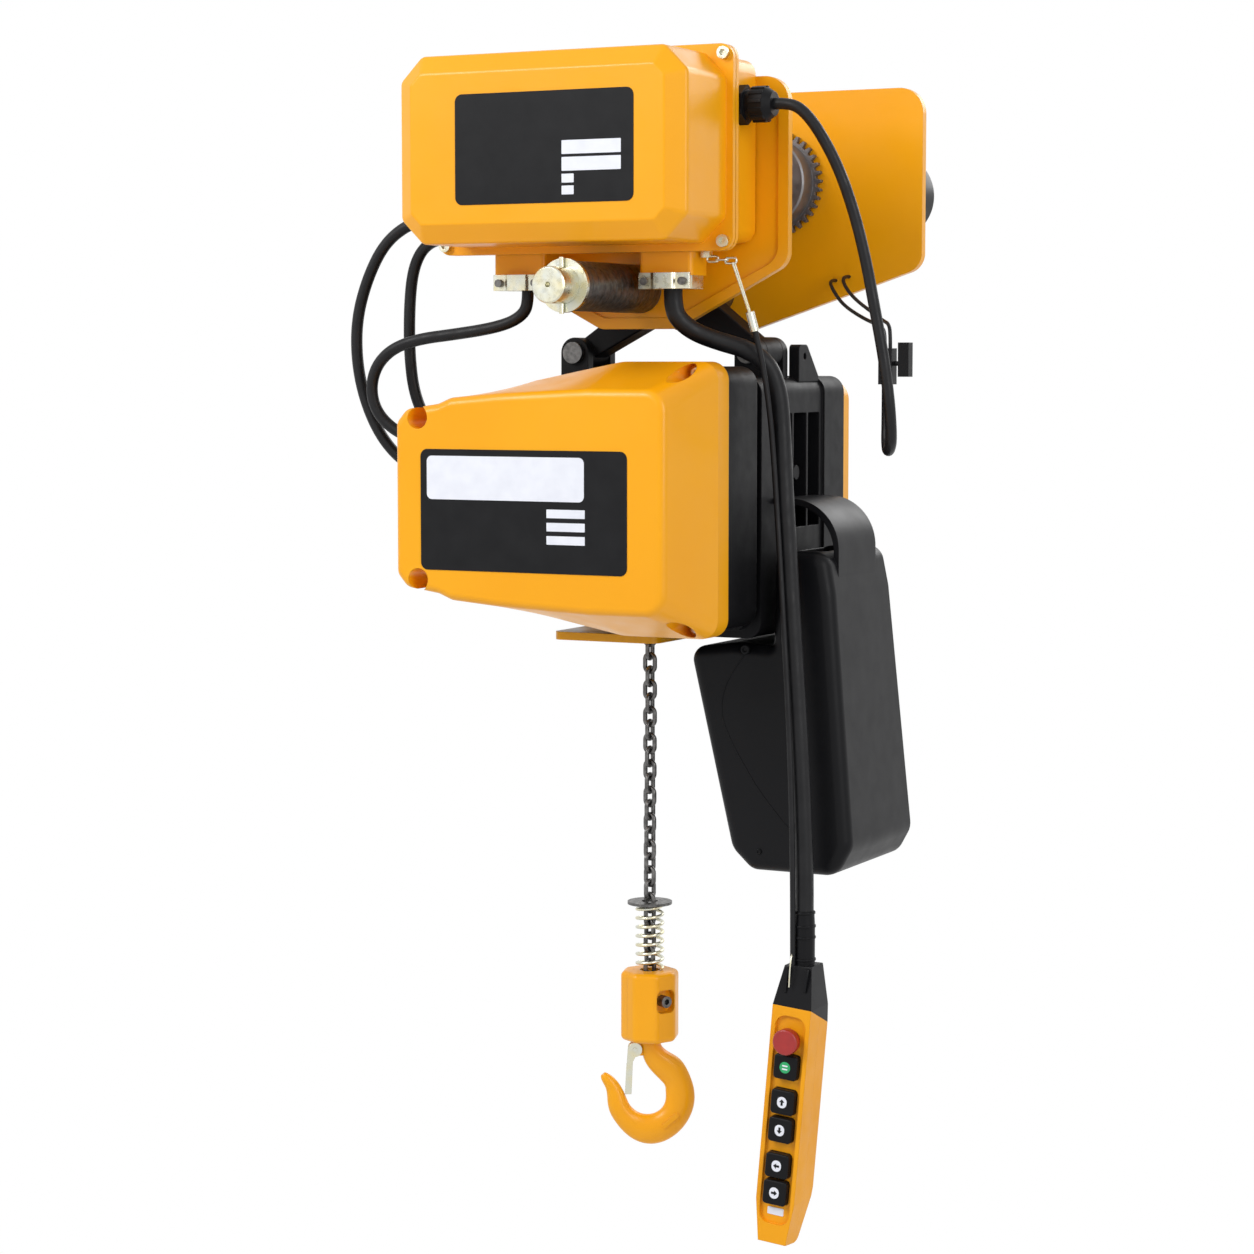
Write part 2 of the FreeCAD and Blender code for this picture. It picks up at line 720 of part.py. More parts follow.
def box_fittings():
    """Zinc cable saddles under the box and the glands of the box and of the hoist body."""
    saddles = []
    screws = []
    for x in (d.boss_x_left, d.boss_x_right):
        front = d.boss_y - 20
        strap = piece_of("saddle_%d" % len(saddles))
        shape = outline([
            (x - 30, front), (x - 30, front - 3, 1), (x - 14, front - 3, 3), (x - 11, front - 7, 3),
            (x + 11, front - 7, 3), (x + 14, front - 3, 3), (x + 30, front - 3, 1), (x + 30, front),
        ])
        pad(strap, "XY_Plane", shape, d.boss_bottom + 3, 17, -1)
        block = rectangle(x - 30, x + 30, front, front + 34, 4)
        pad(strap, "XY_Plane", block, d.boss_bottom, 14, -1)
        saddles.append(strap)
        for side in (-1, 1):
            at = (x + side * 22, front - 3, d.boss_bottom - 6)
            screws.append(cylinder("saddle_screw_%d" % len(screws), 4.2, 4, at, "-Y"))
    keep(group("cable_saddles", saddles), "cable_saddles")
    keep(group("saddle_screws", screws), "saddle_screws")
    wall = d.box_center_x + d.box_half_width - 10
    keep(gland("supply_gland", (wall, -140, d.box_center_z + 45.5), "X", 19, 40), "supply_gland")
    left = d.box_center_x - d.box_half_width + 10
    box_glands = [
        gland("box_gland_high", (left, -132, d.box_center_z - 62.5), "-X", 12, 25),
        gland("box_gland_low", (left, -116, d.box_center_z - 84.5), "-X", 9, 25),
    ]
    keep(group("box_glands", box_glands), "box_glands")
    left = case_left()
    middle = d.body_center_z
    body_glands = [
        gland("body_gland_front", (left, -140, middle + 59), "-X", 12, 25),
        gland("body_gland_low", (left, -118, middle + 23), "-X", 12, 25),
        gland("body_gland_back", (left, -98, middle + 61), "-X", 12, 25),
    ]
    keep(group("body_glands", body_glands), "body_glands")


def gland(label, at, along, radius, reach):
    """A cable gland: hexagon base, threaded ring and ribbed cap; the cable starts at its end face."""
    body = piece_of(label)
    base = reach * 0.25
    neck = reach * 0.42
    rib_end = reach * 0.8
    pad(body, "XY_Plane", hexagon(0, 0, radius * 0.95), 0, base, 1)
    pad(body, "XY_Plane", circle(0, 0, radius * 0.8), base, neck - base, 1)
    ribs = outline(finned_circle(0, 0, radius * 0.93, radius, 12))
    pad(body, "XY_Plane", ribs, neck, rib_end - neck, 1)
    loft(body, "XY_Plane", [
        (circle(0, 0, radius * 0.92), rib_end),
        (circle(0, 0, radius * 0.66), reach),
    ])
    doc.recompute()
    body.Placement = FreeCAD.Placement(V(*at), ALONG[along])
    return body


def strain_anchor():
    """Eye under the box, three small links, a wire sling and the ferrule that grips the strain wire."""
    eye = Part.makeBox(10, 8, 16, V(100, -154, d.box_center_z - 96 - 16))
    solids = [eye]
    for index in range(3):
        spot = V(112 + 10.5 * index, d.boss_y, -41 - index)
        one = chain_link(2.4, 10.5)
        turn = turned(Y_AXIS, 90).multiply(turned(Z_AXIS, 90 if index % 2 else 0))
        one.Placement = FreeCAD.Placement(spot, turn)
        solids.append(one)
    top = V(*FERRULE_TOP)
    end = V(*FERRULE_END)
    for spread in (-2.4, 2.4):
        start = V(136, d.boss_y + spread, -45)
        solids.append(rod(start, top + V(0, spread * 0.6, 0), 1.2))
    solids.append(rod(top + V(0, 0, 2), end, 4.6))
    shaped("strain_anchor", solids[0].fuse(solids[1:]))


FERRULE_TOP = (146, -130, -98)
FERRULE_END = (150, -126, -116)


def rod(start, end, radius):
    """A straight round rod between two points."""
    along = end - start
    return Part.makeCylinder(radius, along.Length, start, along)


def supply_connector():
    """Two inline connector blocks at the supply cable's end."""
    first = box("connector_first", (15, 15, 38), (270, -52, -153))
    second = box("connector_second", (12, 12, 36), (290, -52, -146))
    bridge = cylinder("connector_bridge", 2.5, 12, (274, -52, -150), "X")
    keep(fuse("supply_connector", [first, second, bridge]), "supply_connector")


def cover_outline(less):
    """Outline of the hoist covers in X and Z: tall at the right, two screw ears at the left."""
    x0 = d.body_center_x - d.body_half_width + less
    x1 = d.body_center_x + d.body_half_width - less
    high = d.body_half_height - less
    shape = [
        (x1, high, 20),
        (x0 + 236, high, 60),
        (x0 + 132, high - 20, 80),
        (x0 + 72, high - 36, 14),
        (x0 + 58, high - 47, 8),
        (x0 + 16, high - 50, 14),
        (x0, high - 66, 14),
    ]
    lower = [(x, -z, r) for x, z, r in reversed(shape)]
    return outline([(x, z + d.body_center_z, r) for x, z, r in shape + lower])


def cover_face():
    """Outline of the front cover's face, drawn in most at the top and the right."""
    x0 = d.body_center_x - d.body_half_width + 8
    x1 = d.body_center_x + d.body_half_width - 20
    high = d.body_half_height - 30
    shape = [
        (x1, high, 24),
        (x0 + 228, high, 60),
        (x0 + 124, high - 4, 80),
        (x0 + 66, high - 8, 20),
        (x0 + 50, high - 14, 12),
        (x0 + 12, high - 20, 14),
        (x0, high - 34, 14),
    ]
    lower = [(x, -z, r) for x, z, r in reversed(shape)]
    return outline([(x, z + d.body_center_z, r) for x, z, r in shape + lower])


def hoist_covers():
    """Front cover with its drawn-in face and screw scoops, and the rear cover over the motor."""
    cover = body_of("front_cover")
    rim_end = d.cover_back_y - 26
    pad(cover, "XZ_Plane", cover_outline(0), d.cover_back_y, 26, -1)
    loft(cover, "XZ_Plane", [(cover_outline(0), rim_end), (cover_face(), d.cover_front_y)])
    soften(cover, 9, lambda edge: edge.BoundBox.YMax < d.cover_front_y + 0.1)
    inside = cover_outline(38)
    pocket(cover, "XZ_Plane", inside, d.cover_back_y, 100, -1)
    holes = []
    screws = []
    seat = d.cover_back_y - 20
    for index, (x, z, scoop) in enumerate(cover_screw_points()):
        holes += circle(x, z, 3)
        pocket(cover, "XZ_Plane", circle(x, z, scoop), d.cover_front_y - 1, seat - d.cover_front_y + 1, 1)
        screws.append(hex_socket_screw("cover_screw_%d" % index, 6, 6, 3, 20, (x, seat, z), "-Y"))
    pocket(cover, "XZ_Plane", holes, seat - 1, 30, 1)
    keep(group("cover_screws", screws), "cover_screws")
    rear = body_of("rear_cover")
    low = d.case_back_y
    pad(rear, "XZ_Plane", rear_rectangle(0, 24), low, 22, 1)
    loft(rear, "XZ_Plane", [(rear_rectangle(0, 24), low + 22), (rear_rectangle(38, 20), d.rear_cover_y)])
    soften(rear, 8, lambda edge: edge.BoundBox.YMin > d.rear_cover_y - 0.1)
    pocket(rear, "XZ_Plane", rear_rectangle(42, 16), low, d.rear_cover_y - low - 11, 1)


def cover_screw_points():
    """Middle of each screw of the front cover, in X and Z, and the radius of its scoop."""
    right = d.body_center_x + d.body_half_width - 26
    left = d.body_center_x - d.body_half_width + 36
    high = d.body_half_height
    return (
        (right, d.body_center_z + high - 12, 10),
        (right, d.body_center_z - high + 12, 10),
        (left, d.body_center_z + high - 59, 12),
        (left, d.body_center_z - high + 59, 12),
    )


def rear_rectangle(less, radius):
    """Outline of the motor cover, drawn in from its rim."""
    low = d.body_center_z - d.body_half_height + 8 + less
    high = d.body_center_z + d.body_half_height - 20 - less
    return rectangle(case_left() + less, case_right() - less, low, high, radius)


def case_left():
    """Left face of the gear case."""
    return d.body_center_x - d.body_half_width + d.case_inset


def case_right():
    """Right face of the gear case."""
    return d.body_center_x + d.body_half_width - d.case_inset


def sprocket_x():
    """Axis of the load sprocket, beside the chain."""
    return d.chain_x + d.sprocket_radius + d.chain_wire * 1.7 + 0.6


def case_outline(less, top):
    """Outline of the gear case's rear sections: like the covers, with a top of its own."""
    left = case_left() + less
    right = case_right() - less
    bottom = d.case_bottom + less
    return outline([
        (right, top, 18),
        (left + 196, top, 50),
        (left + 96, top - 20, 50),
        (left + 16, top - 46, 16),
        (left, top - 66, 14),
        (left, bottom + 66, 14),
        (left + 60, bottom + 34, 40),
        (left + 150, bottom, 50),
        (right, bottom, 18),
    ])


def gear_case():
    """Cast case in two sections with a valley between, ribbed windows, yoke ears and a bag bracket."""
    case = body_of("gear_case")
    right = case_right()
    top = d.body_center_z + d.body_half_height
    low_top = top - 17
    pad(case, "XZ_Plane", cover_outline(d.case_inset), d.cover_back_y, 82, 1)
    pad(case, "XZ_Plane", case_outline(9, low_top - 2), d.cover_back_y + 78, 20, 1)
    pad(case, "XZ_Plane", case_outline(0, low_top), d.cover_back_y + 94, 170, 1)
    pad(case, "XZ_Plane", case_outline(-3, low_top + 1), 100, d.case_back_y - 100, 1)
    for x in (d.yoke_lug_left, d.yoke_lug_right):
        for side in (-1, 1):
            crest = d.yoke_lug_z + 17
            ear = outline([(x - 17, top - 62), (x + 17, top - 62), (x + 17, crest, 16.9), (x - 17, crest, 16.9)])
            start = side * (d.yoke_half_width + 1)
            pad(case, "XZ_Plane", ear, start, 12, side)
            pocket(case, "XZ_Plane", circle(x, d.yoke_lug_z, 8), side * (d.yoke_half_width + 14), 30, -side)
    gusset = outline([(44, top - 22), (44, top + 19, 6), (66, top + 19, 8), (98, top - 16), (98, top - 22)])
    pad(case, "YZ_Plane", gusset, right - 16, 12, 1)
    pocket(case, "YZ_Plane", circle(60, top + 6, 4), right + 2, 30, -1)
    for y0, y1 in ((2, 17), (21, 56), (60, 92)):
        window = rectangle(y0, y1, d.body_center_z - 37, d.body_center_z + 89, 2)
        pocket(case, "YZ_Plane", window, right + 1, 26, -1)
    pad(case, "YZ_Plane", circle(38, d.body_center_z + 23, 8), right - 26, 22, 1)
    axis = sprocket_x()
    room = d.sprocket_radius + 6
    hollow = rectangle(d.chain_x - 20, axis + room, d.sprocket_z - room, d.sprocket_z + room, 12)
    front = d.chain_y - 40
    pocket(case, "XZ_Plane", hollow, d.case_back_y + 1, d.case_back_y + 1 - front, -1)
    pocket(case, "XZ_Plane", circle(axis, d.sprocket_z, 10 + d.running_gap), front + 1, 16, -1)
    slot = rectangle(d.chain_x - 12, d.chain_x + 12, d.chain_y - 12, d.chain_y + 12, 5)
    pocket(case, "XY_Plane", slot, d.case_bottom, d.sprocket_z - room - d.case_bottom + 2, 1)
    switchgear = rectangle(case_left() + 16, d.chain_x - 44, d.body_center_z - 84, d.body_center_z + 76, 10)
    pocket(case, "XZ_Plane", switchgear, d.cover_back_y, d.switchgear_deep, 1)


def yoke():
    """Forged yoke: a hub on the suspension shaft and an arm to each lug."""
    body = body_of("yoke")
    z = d.shaft_z
    hub = 34
    half = d.yoke_half_width
    pad(body, "XZ_Plane", circle(0, z, hub), -half, "2 * yoke_half_width", 1)
    for x in (d.yoke_lug_left, d.yoke_lug_right):
        run = math.hypot(x, d.yoke_lug_z - z)
        along = V(x / run, (d.yoke_lug_z - z) / run, 0)
        across = V(-along.y, along.x, 0)
        lug = V(x, d.yoke_lug_z, 0)
        start = V(0, z, 0)
        corners = [start + across * 20, lug + across * 12, lug - across * 12, start - across * 20]
        pad(body, "XZ_Plane", outline([(c.x, c.y) for c in corners]), -half + 4, "2 * yoke_half_width - 8", 1)
        pad(body, "XZ_Plane", circle(x, d.yoke_lug_z, 17), -half, "2 * yoke_half_width", 1)
    bores = circle(0, z, d.shaft_radius + d.running_gap)
    bores += circle(d.yoke_lug_left, d.yoke_lug_z, 8)
    bores += circle(d.yoke_lug_right, d.yoke_lug_z, 8)
    pocket(body, "XZ_Plane", bores, -half, 60, 1)
    soften(body, 2, lambda edge: edge.Length > 60 and abs(edge.BoundBox.YMax - edge.BoundBox.YMin) < 0.1
           and abs(abs(edge.BoundBox.YMax) - half + 4) < 0.1)
    pins = []
    for x in (d.yoke_lug_left, d.yoke_lug_right):
        name = "yoke_pin_%d" % len(pins)
        stem = cylinder(name + "_stem", 8, 70, (x, -34, d.yoke_lug_z), "Y")
        head = cylinder(name + "_head", 12, 6, (x, -33, d.yoke_lug_z), "-Y")
        clip = cylinder(name + "_clip", 11, 3, (x, 33, d.yoke_lug_z), "Y")
        pins.append(fuse(name, [stem, head, clip]))
    keep(group("yoke_pins", pins), "yoke_pins")


def drive_inside():
    """Load sprocket and its shaft inside the case; the chain runs along its rim."""
    wheel = body_of("load_sprocket")
    rim = d.sprocket_radius
    revolve(wheel, outline([
        (-50, 0), (60, 0), (60, 10), (14, 10), (14, rim - 2), (12, rim), (5, rim), (5, rim - 7),
        (-5, rim - 7), (-5, rim), (-12, rim), (-14, rim - 2), (-14, 10), (-50, 10),
    ]))
    move(wheel, (sprocket_x(), d.chain_y, d.sprocket_z))


def cross(x, y, reach, half):
    """A cross-shaped outline that both ways of a chain's links pass through."""
    quarter = ((reach, -half), (reach, half), (half, half))
    points = []
    for turn in range(4):
        for along, across in quarter:
            for step in range(turn):
                along, across = -across, along
            points.append((x + along, y + across))
    return outline(points)


def chain_guide():
    """Plate with the chain's exit slot under the case."""
    body = body_of("chain_guide")
    x = d.chain_x
    y = d.chain_y
    shape = outline([(x - 98, y - 46, 10), (x + 30, y - 46, 14), (x + 30, y + 40, 14), (x - 98, y + 40, 10)])
    pad(body, "XY_Plane", shape, d.case_bottom, 9, -1)
    clearance = 0.6
    slot = cross(x, y, d.chain_wire * 1.7 + clearance, d.chain_wire / 2 + clearance)
    pocket(body, "XY_Plane", slot, d.case_bottom - 9, 20, 1)


def chain_link(wire, pitch):
    """One chain link: two straight sides and two half rings, as one tube round its middle."""
    radius = wire * 1.2
    straight = pitch / 2 + wire / 2 - radius
    corners = [V(radius, 0, -straight), V(radius, 0, straight), V(-radius, 0, straight), V(-radius, 0, -straight)]
    path = Part.Wire([
        Part.makeLine(corners[0], corners[1]),
        Part.Arc(corners[1], V(0, 0, straight + radius), corners[2]).toShape(),
        Part.makeLine(corners[2], corners[3]),
        Part.Arc(corners[3], V(0, 0, -straight - radius), corners[0]).toShape(),
    ])
    section = Part.Wire([Part.makeCircle(wire / 2, corners[0], Z_AXIS)])
    return path.makePipeShell([section], True, False)


def shaped(label, shape, at=None, rotation=None):
    """A Part::Feature whose form comes from Part's own functions."""
    obj = doc.addObject("Part::Feature", label)
    obj.Shape = shape
    if at is not None:
        obj.Placement = FreeCAD.Placement(V(*at), rotation or FreeCAD.Rotation())
    return keep(obj, label)


def load_chain():
    """Links from inside the case to the hook block, each turned a quarter to the next.

    The chain twists a little on its way down, so that the lowest link faces as the hook block does.
    """
    links = []
    lowest = d.block_top - d.link_depth
    count = int(d.chain_links)
    twisted = count - 8
    for index in range(count):
        z = lowest + index * d.chain_pitch
        twist = d.block_turn * max(0, 1 - index / twisted)
        one = chain_link(d.chain_wire, d.chain_pitch)
        turn = turned(Z_AXIS, 90 * (index % 2) + twist)
        one.Placement = FreeCAD.Placement(V(d.chain_x, d.chain_y, z), turn)
        links.append(one)
    shaped("load_chain", Part.makeCompound(links))


def helix_tube(radius, rise, turns, wire):
    """One unbroken spring wire: a pipe along arcs that follow a helix a quarter turn at a time."""
    steps = int(turns * 4)
    edges = []
    for index in range(steps):
        first = helix_point(radius, rise, index / 4)
        last = helix_point(radius, rise, (index + 1) / 4)
        edges += biarc(first, last)
    path = Part.Wire(edges)
    start, tangent = helix_point(radius, rise, 0)
    section = Part.Wire([Part.makeCircle(wire / 2, start, tangent)])
    return path.makePipeShell([section], True, False)


def helix_point(radius, rise, turn):
    """Point and direction of a helix after so many turns."""
    angle = 2 * math.pi * turn
    point = V(radius * math.cos(angle), radius * math.sin(angle), rise * turn)
    tangent = V(-math.sin(angle) * 2 * math.pi * radius, math.cos(angle) * 2 * math.pi * radius, rise)
    tangent.normalize()
    return point, tangent


def biarc(first, last):
    """Two arcs that leave one point and reach the next in the given directions."""
    p0, t0 = first
    p1, t1 = last
    gap = p1 - p0
    total = t0 + t1
    a = 2 * (1 - t0.dot(t1))
    b = 2 * gap.dot(total)
    c = -gap.dot(gap)
    reach = (-b + math.sqrt(b * b - 4 * a * c)) / (2 * a)
    joint = (p0 + p1 + (t0 - t1) * reach) * 0.5
    return [tangent_arc(p0, t0, joint), tangent_arc(p1, t1 * -1, joint)]


def tangent_arc(start, tangent, end):
    """An arc from a point in a direction to another point."""
    chord = end - start
    normal = chord.cross(tangent)
    side = tangent.cross(normal)
    side.normalize()
    radius = -chord.dot(chord) / (2 * chord.dot(side))
    center = start - side * radius
    middle = (start + end) * 0.5 - center
    middle.normalize()
    return Part.Arc(start, center + middle * abs(radius), end).toShape()


def pin_radius():
    """Radius of the pin through the lowest link, just under the link's inner half width."""
    return d.chain_wire * 0.7 - 0.05


def block_outline(side):
    """Half of the eight-sided block, on one side of its joint."""
    flat = d.block_radius
    edge = flat * math.tan(math.pi / 8)
    return outline([(0, -flat), (side * edge, -flat, 9), (side * flat, -edge, 9), (side * flat, edge, 9),
                    (side * edge, flat, 9), (0, flat)])


def hook_block():
    """Two block halves, their bolts, the limit washer and the limit spring."""
    x = d.chain_x
    y = d.chain_y
    height = d.block_top - d.block_bottom
    turn = turned(Z_AXIS, d.block_turn)
    bolt_z = height * 0.6
    pin_z = height - d.link_depth - d.pin_drop
    for label, side in (("block_half_left", -1), ("block_half_right", 1)):
        body = body_of(label)
        r = d.block_radius
        pad(body, "XY_Plane", block_outline(side), 0, height, 1)
        soften(body, 6, lambda edge: edge.BoundBox.ZMax - edge.BoundBox.ZMin < 0.1 and
               abs(edge.BoundBox.XMax) + abs(edge.BoundBox.XMin) > 2)
        recess = rectangle(-12, 12, bolt_z - 13, bolt_z + 13, 7)
        pocket(body, "YZ_Plane", recess, side * r, 9, -side)
        pocket(body, "YZ_Plane", circle(0, bolt_z, 4), side * (r - 9), 30, -side)
        pocket(body, "XY_Plane", circle(0, 0, 11), height, 34, -1)
        pocket(body, "XZ_Plane", circle(0, pin_z, pin_radius()), -20, 40, 1)
        pocket(body, "XY_Plane", circle(0, 0, 14.3), -1, 24, 1)
        pocket(body, "XY_Plane", circle(0, 0, 18.3), 8, 12, 1)
        move(body, (x, y, d.block_bottom), turn)
    bolts = []
    for side, along in ((-1, "-X"), (1, "X")):
        at = (side * (d.block_radius - 9), 0, bolt_z)
        bolt = hex_socket_screw("block_bolt_%d" % len(bolts), 6.5, 11, 4, 8, at, along)
        bolts.append(bolt)
    bolts.append(cylinder("chain_pin", pin_radius(), 40, (0, -20, pin_z), "Y"))
    bolt_group = group("block_bolts", bolts)
    bolt_group.Placement = FreeCAD.Placement(V(x, y, d.block_bottom), turn)
    keep(bolt_group, "block_bolts")
    washer = ring("limit_washer", "washer_radius", d.chain_wire * 1.7 + 0.7, 3, (x, y, d.washer_z))
    keep(washer, "limit_washer")
    length = d.washer_z - d.block_top - d.spring_wire - 0.2
    rise = length / d.spring_turns
    coil = helix_tube(d.spring_radius, rise, d.spring_turns, d.spring_wire)
    shaped("limit_spring", coil, (x, y, d.block_top + d.spring_wire / 2 + 0.1))
    print("limit spring gap between turns %.2f mm" % (rise - d.spring_wire))


def hook_station(angle, inner, outer, half_thick):
    """Section of the hook across the bowl: an ellipse from the inner to the outer curve."""
    turn = math.radians(angle)
    out = V(math.cos(turn), 0, math.sin(turn))
    middle = V(-2, 0, -d.hook_depth) + out * ((inner + outer) / 2)
    return ellipse(middle, out, (outer - inner) / 2, half_thick)


def ellipse(middle, out, half_width, half_thick):
    """An elliptical wire with one axis along out, in the hook's plane, and the other along Y."""
    if half_width >= half_thick:
        curve = Part.Ellipse(middle + out * half_width, middle + Y_AXIS * half_thick, middle)
    else:
        curve = Part.Ellipse(middle + Y_AXIS * half_thick, middle - out * half_width, middle)
    return Part.Wire([curve.toShape()])


def hook():
    """Forged swivel hook with its stem, and the pressed latch that closes its mouth."""
    bowl = d.hook_bowl
    outer = d.hook_outer
    half = d.hook_thickness / 2
    shank = -d.hook_depth + 37
    tip = -d.hook_depth + 11
    sections = [
        ellipse(V(0, 0, 0), X_AXIS, 13, 12.9),
        ellipse(V(2.5, 0, -10), V(1, 0, 0.1).normalize(), 11.6, 11.5),
        ellipse(V(12.5, 0, shank), V(0.906, 0, 0.42).normalize(), 16, half + 1),
        hook_station(35, bowl + 0.5, outer, half),
        hook_station(0, bowl, outer + 0.5, half),
        hook_station(-40, bowl + 2.7, outer + 3.5, half + 1),
        hook_station(-85, bowl + 4.4, outer + 6.6, half + 1),
        hook_station(-125, bowl + 4.6, outer - 0.5, half),
        hook_station(-165, bowl + 4.8, outer - 5, half - 1),
        ellipse(V(-44, 0, tip), V(-0.9, 0, -0.43).normalize(), 7.4, half - 3.6),
        ellipse(V(-50, 0, tip + 7.2), V(-0.8, 0, -0.6).normalize(), 5.4, 5),
        ellipse(V(-52.6, 0, tip + 10.6), V(-0.78, 0, -0.62).normalize(), 3, 2.8),
    ]
    bend = Part.makeLoft(sections, True, False)
    pivot = V(-16.6, 0, -11.4)
    lug = Part.makeCylinder(7, 9, pivot + Y_AXIS * 4.5, Y_AXIS * -1)
    neck = Part.makeBox(16, 9, 14, V(-16.6, -4.5, -18.4))
    stem = Part.makeCylinder(14, 24, V(0, 0, -4))
    collar = Part.makeCylinder(18, 9.4, V(0, 0, 9.3))
    bore = Part.makeCylinder(2.5, 20, pivot + Y_AXIS * 10, Y_AXIS * -1)
    forging = bend.fuse([lug, neck, stem, collar]).cut(bore).removeSplitter()
    turn = turned(Z_AXIS, d.hook_turn)
    shaped("hook", forging, (d.chain_x, d.chain_y, d.block_bottom), turn)
    latch = body_of("hook_latch")
    eye = d.latch_eye
    for side in (-1, 1):
        pad(latch, "XZ_Plane", circle(pivot.x, pivot.z, eye), side * 5.2, 2, side)
        arm = outline([(pivot.x - eye, pivot.z), (pivot.x + 2, pivot.z - 5), (-19, -25, 4), (-20.5, -62, 1.5),
                       (-28, -62, 2)])
        pad(latch, "XZ_Plane", arm, side * 5.2, 2, side)
    web = outline([(-26.2, -30), (-23.6, -30), (-25.4, -62), (-28, -62)])
    pad(latch, "XZ_Plane", web, -7.2, 14.4, 1)
    pocket(latch, "XZ_Plane", circle(pivot.x, pivot.z, 2.5), 10, 30, -1)
    move(latch, (d.chain_x, d.chain_y, d.block_bottom), turn)
    pin = cylinder("latch_pin", 2.5, 17, (0, 0, 0), "Y")
    spot = turn.multVec(pivot - Y_AXIS * 8.5) + V(d.chain_x, d.chain_y, d.block_bottom)
    pin.Placement = FreeCAD.Placement(spot, turn.multiply(ALONG["Y"]))
    keep(pin, "latch_pin")


def chain_bag():
    """Moulded bag beside and under the case, open at its top, with the strap that it hangs from."""
    bag = body_of("chain_bag")
    inner = case_right() + 5
    outer = inner + d.bag_width
    foot = d.bag_bottom
    shoulder = d.bag_shoulder
    under = d.case_bottom - 9
    front = outline([
        (outer - 172, under - 4, 16), (outer - 120, foot + 22, 26), (outer - 96, foot, 18),
        (outer + 4, foot, 24), (outer + 22, foot + 32, 24), (outer, shoulder - 44, 60),
        (outer - 8, shoulder, 18), (inner + 7, shoulder, 14), (inner + 5, under + 1, 5), (outer - 116, under + 3, 20),
    ])
    deep = d.bag_back - d.bag_front
    pad(bag, "XZ_Plane", front, d.bag_front, deep, 1)
    rear = d.bag_back
    waist = outline([(d.bag_waist, shoulder + 1), (rear, foot), (rear + 1, foot), (rear + 1, shoulder + 1)])
    pocket(bag, "YZ_Plane", waist, outer - 200, 260, 1)
    soften(bag, 13, lambda edge: edge.BoundBox.YMax < d.bag_front + 0.1)
    mouth = rectangle(inner + 14, outer - 20, -30, 70, 8)
    pocket(bag, "XY_Plane", mouth, shoulder, 70, -1)
    crown = shoulder + 56
    strap = [
        line((inner - 5, crown), (inner + 15, crown)),
        arc((inner + 15, crown), (outer - 19, crown - 16), (outer - 3, shoulder)),
        line((outer - 3, shoulder), (outer - 3, shoulder - 44)),
        line((outer - 3, shoulder - 44), (outer - 9, shoulder - 44)),
        line((outer - 9, shoulder - 44), (outer - 9, shoulder)),
        arc((outer - 9, shoulder), (outer - 23, crown - 22), (inner + 15, crown - 6)),
        line((inner + 15, crown - 6), (inner - 5, crown - 6)),
        line((inner - 5, crown - 6), (inner - 5, crown)),
    ]
    pad(bag, "XZ_Plane", strap, -34, 104, 1)


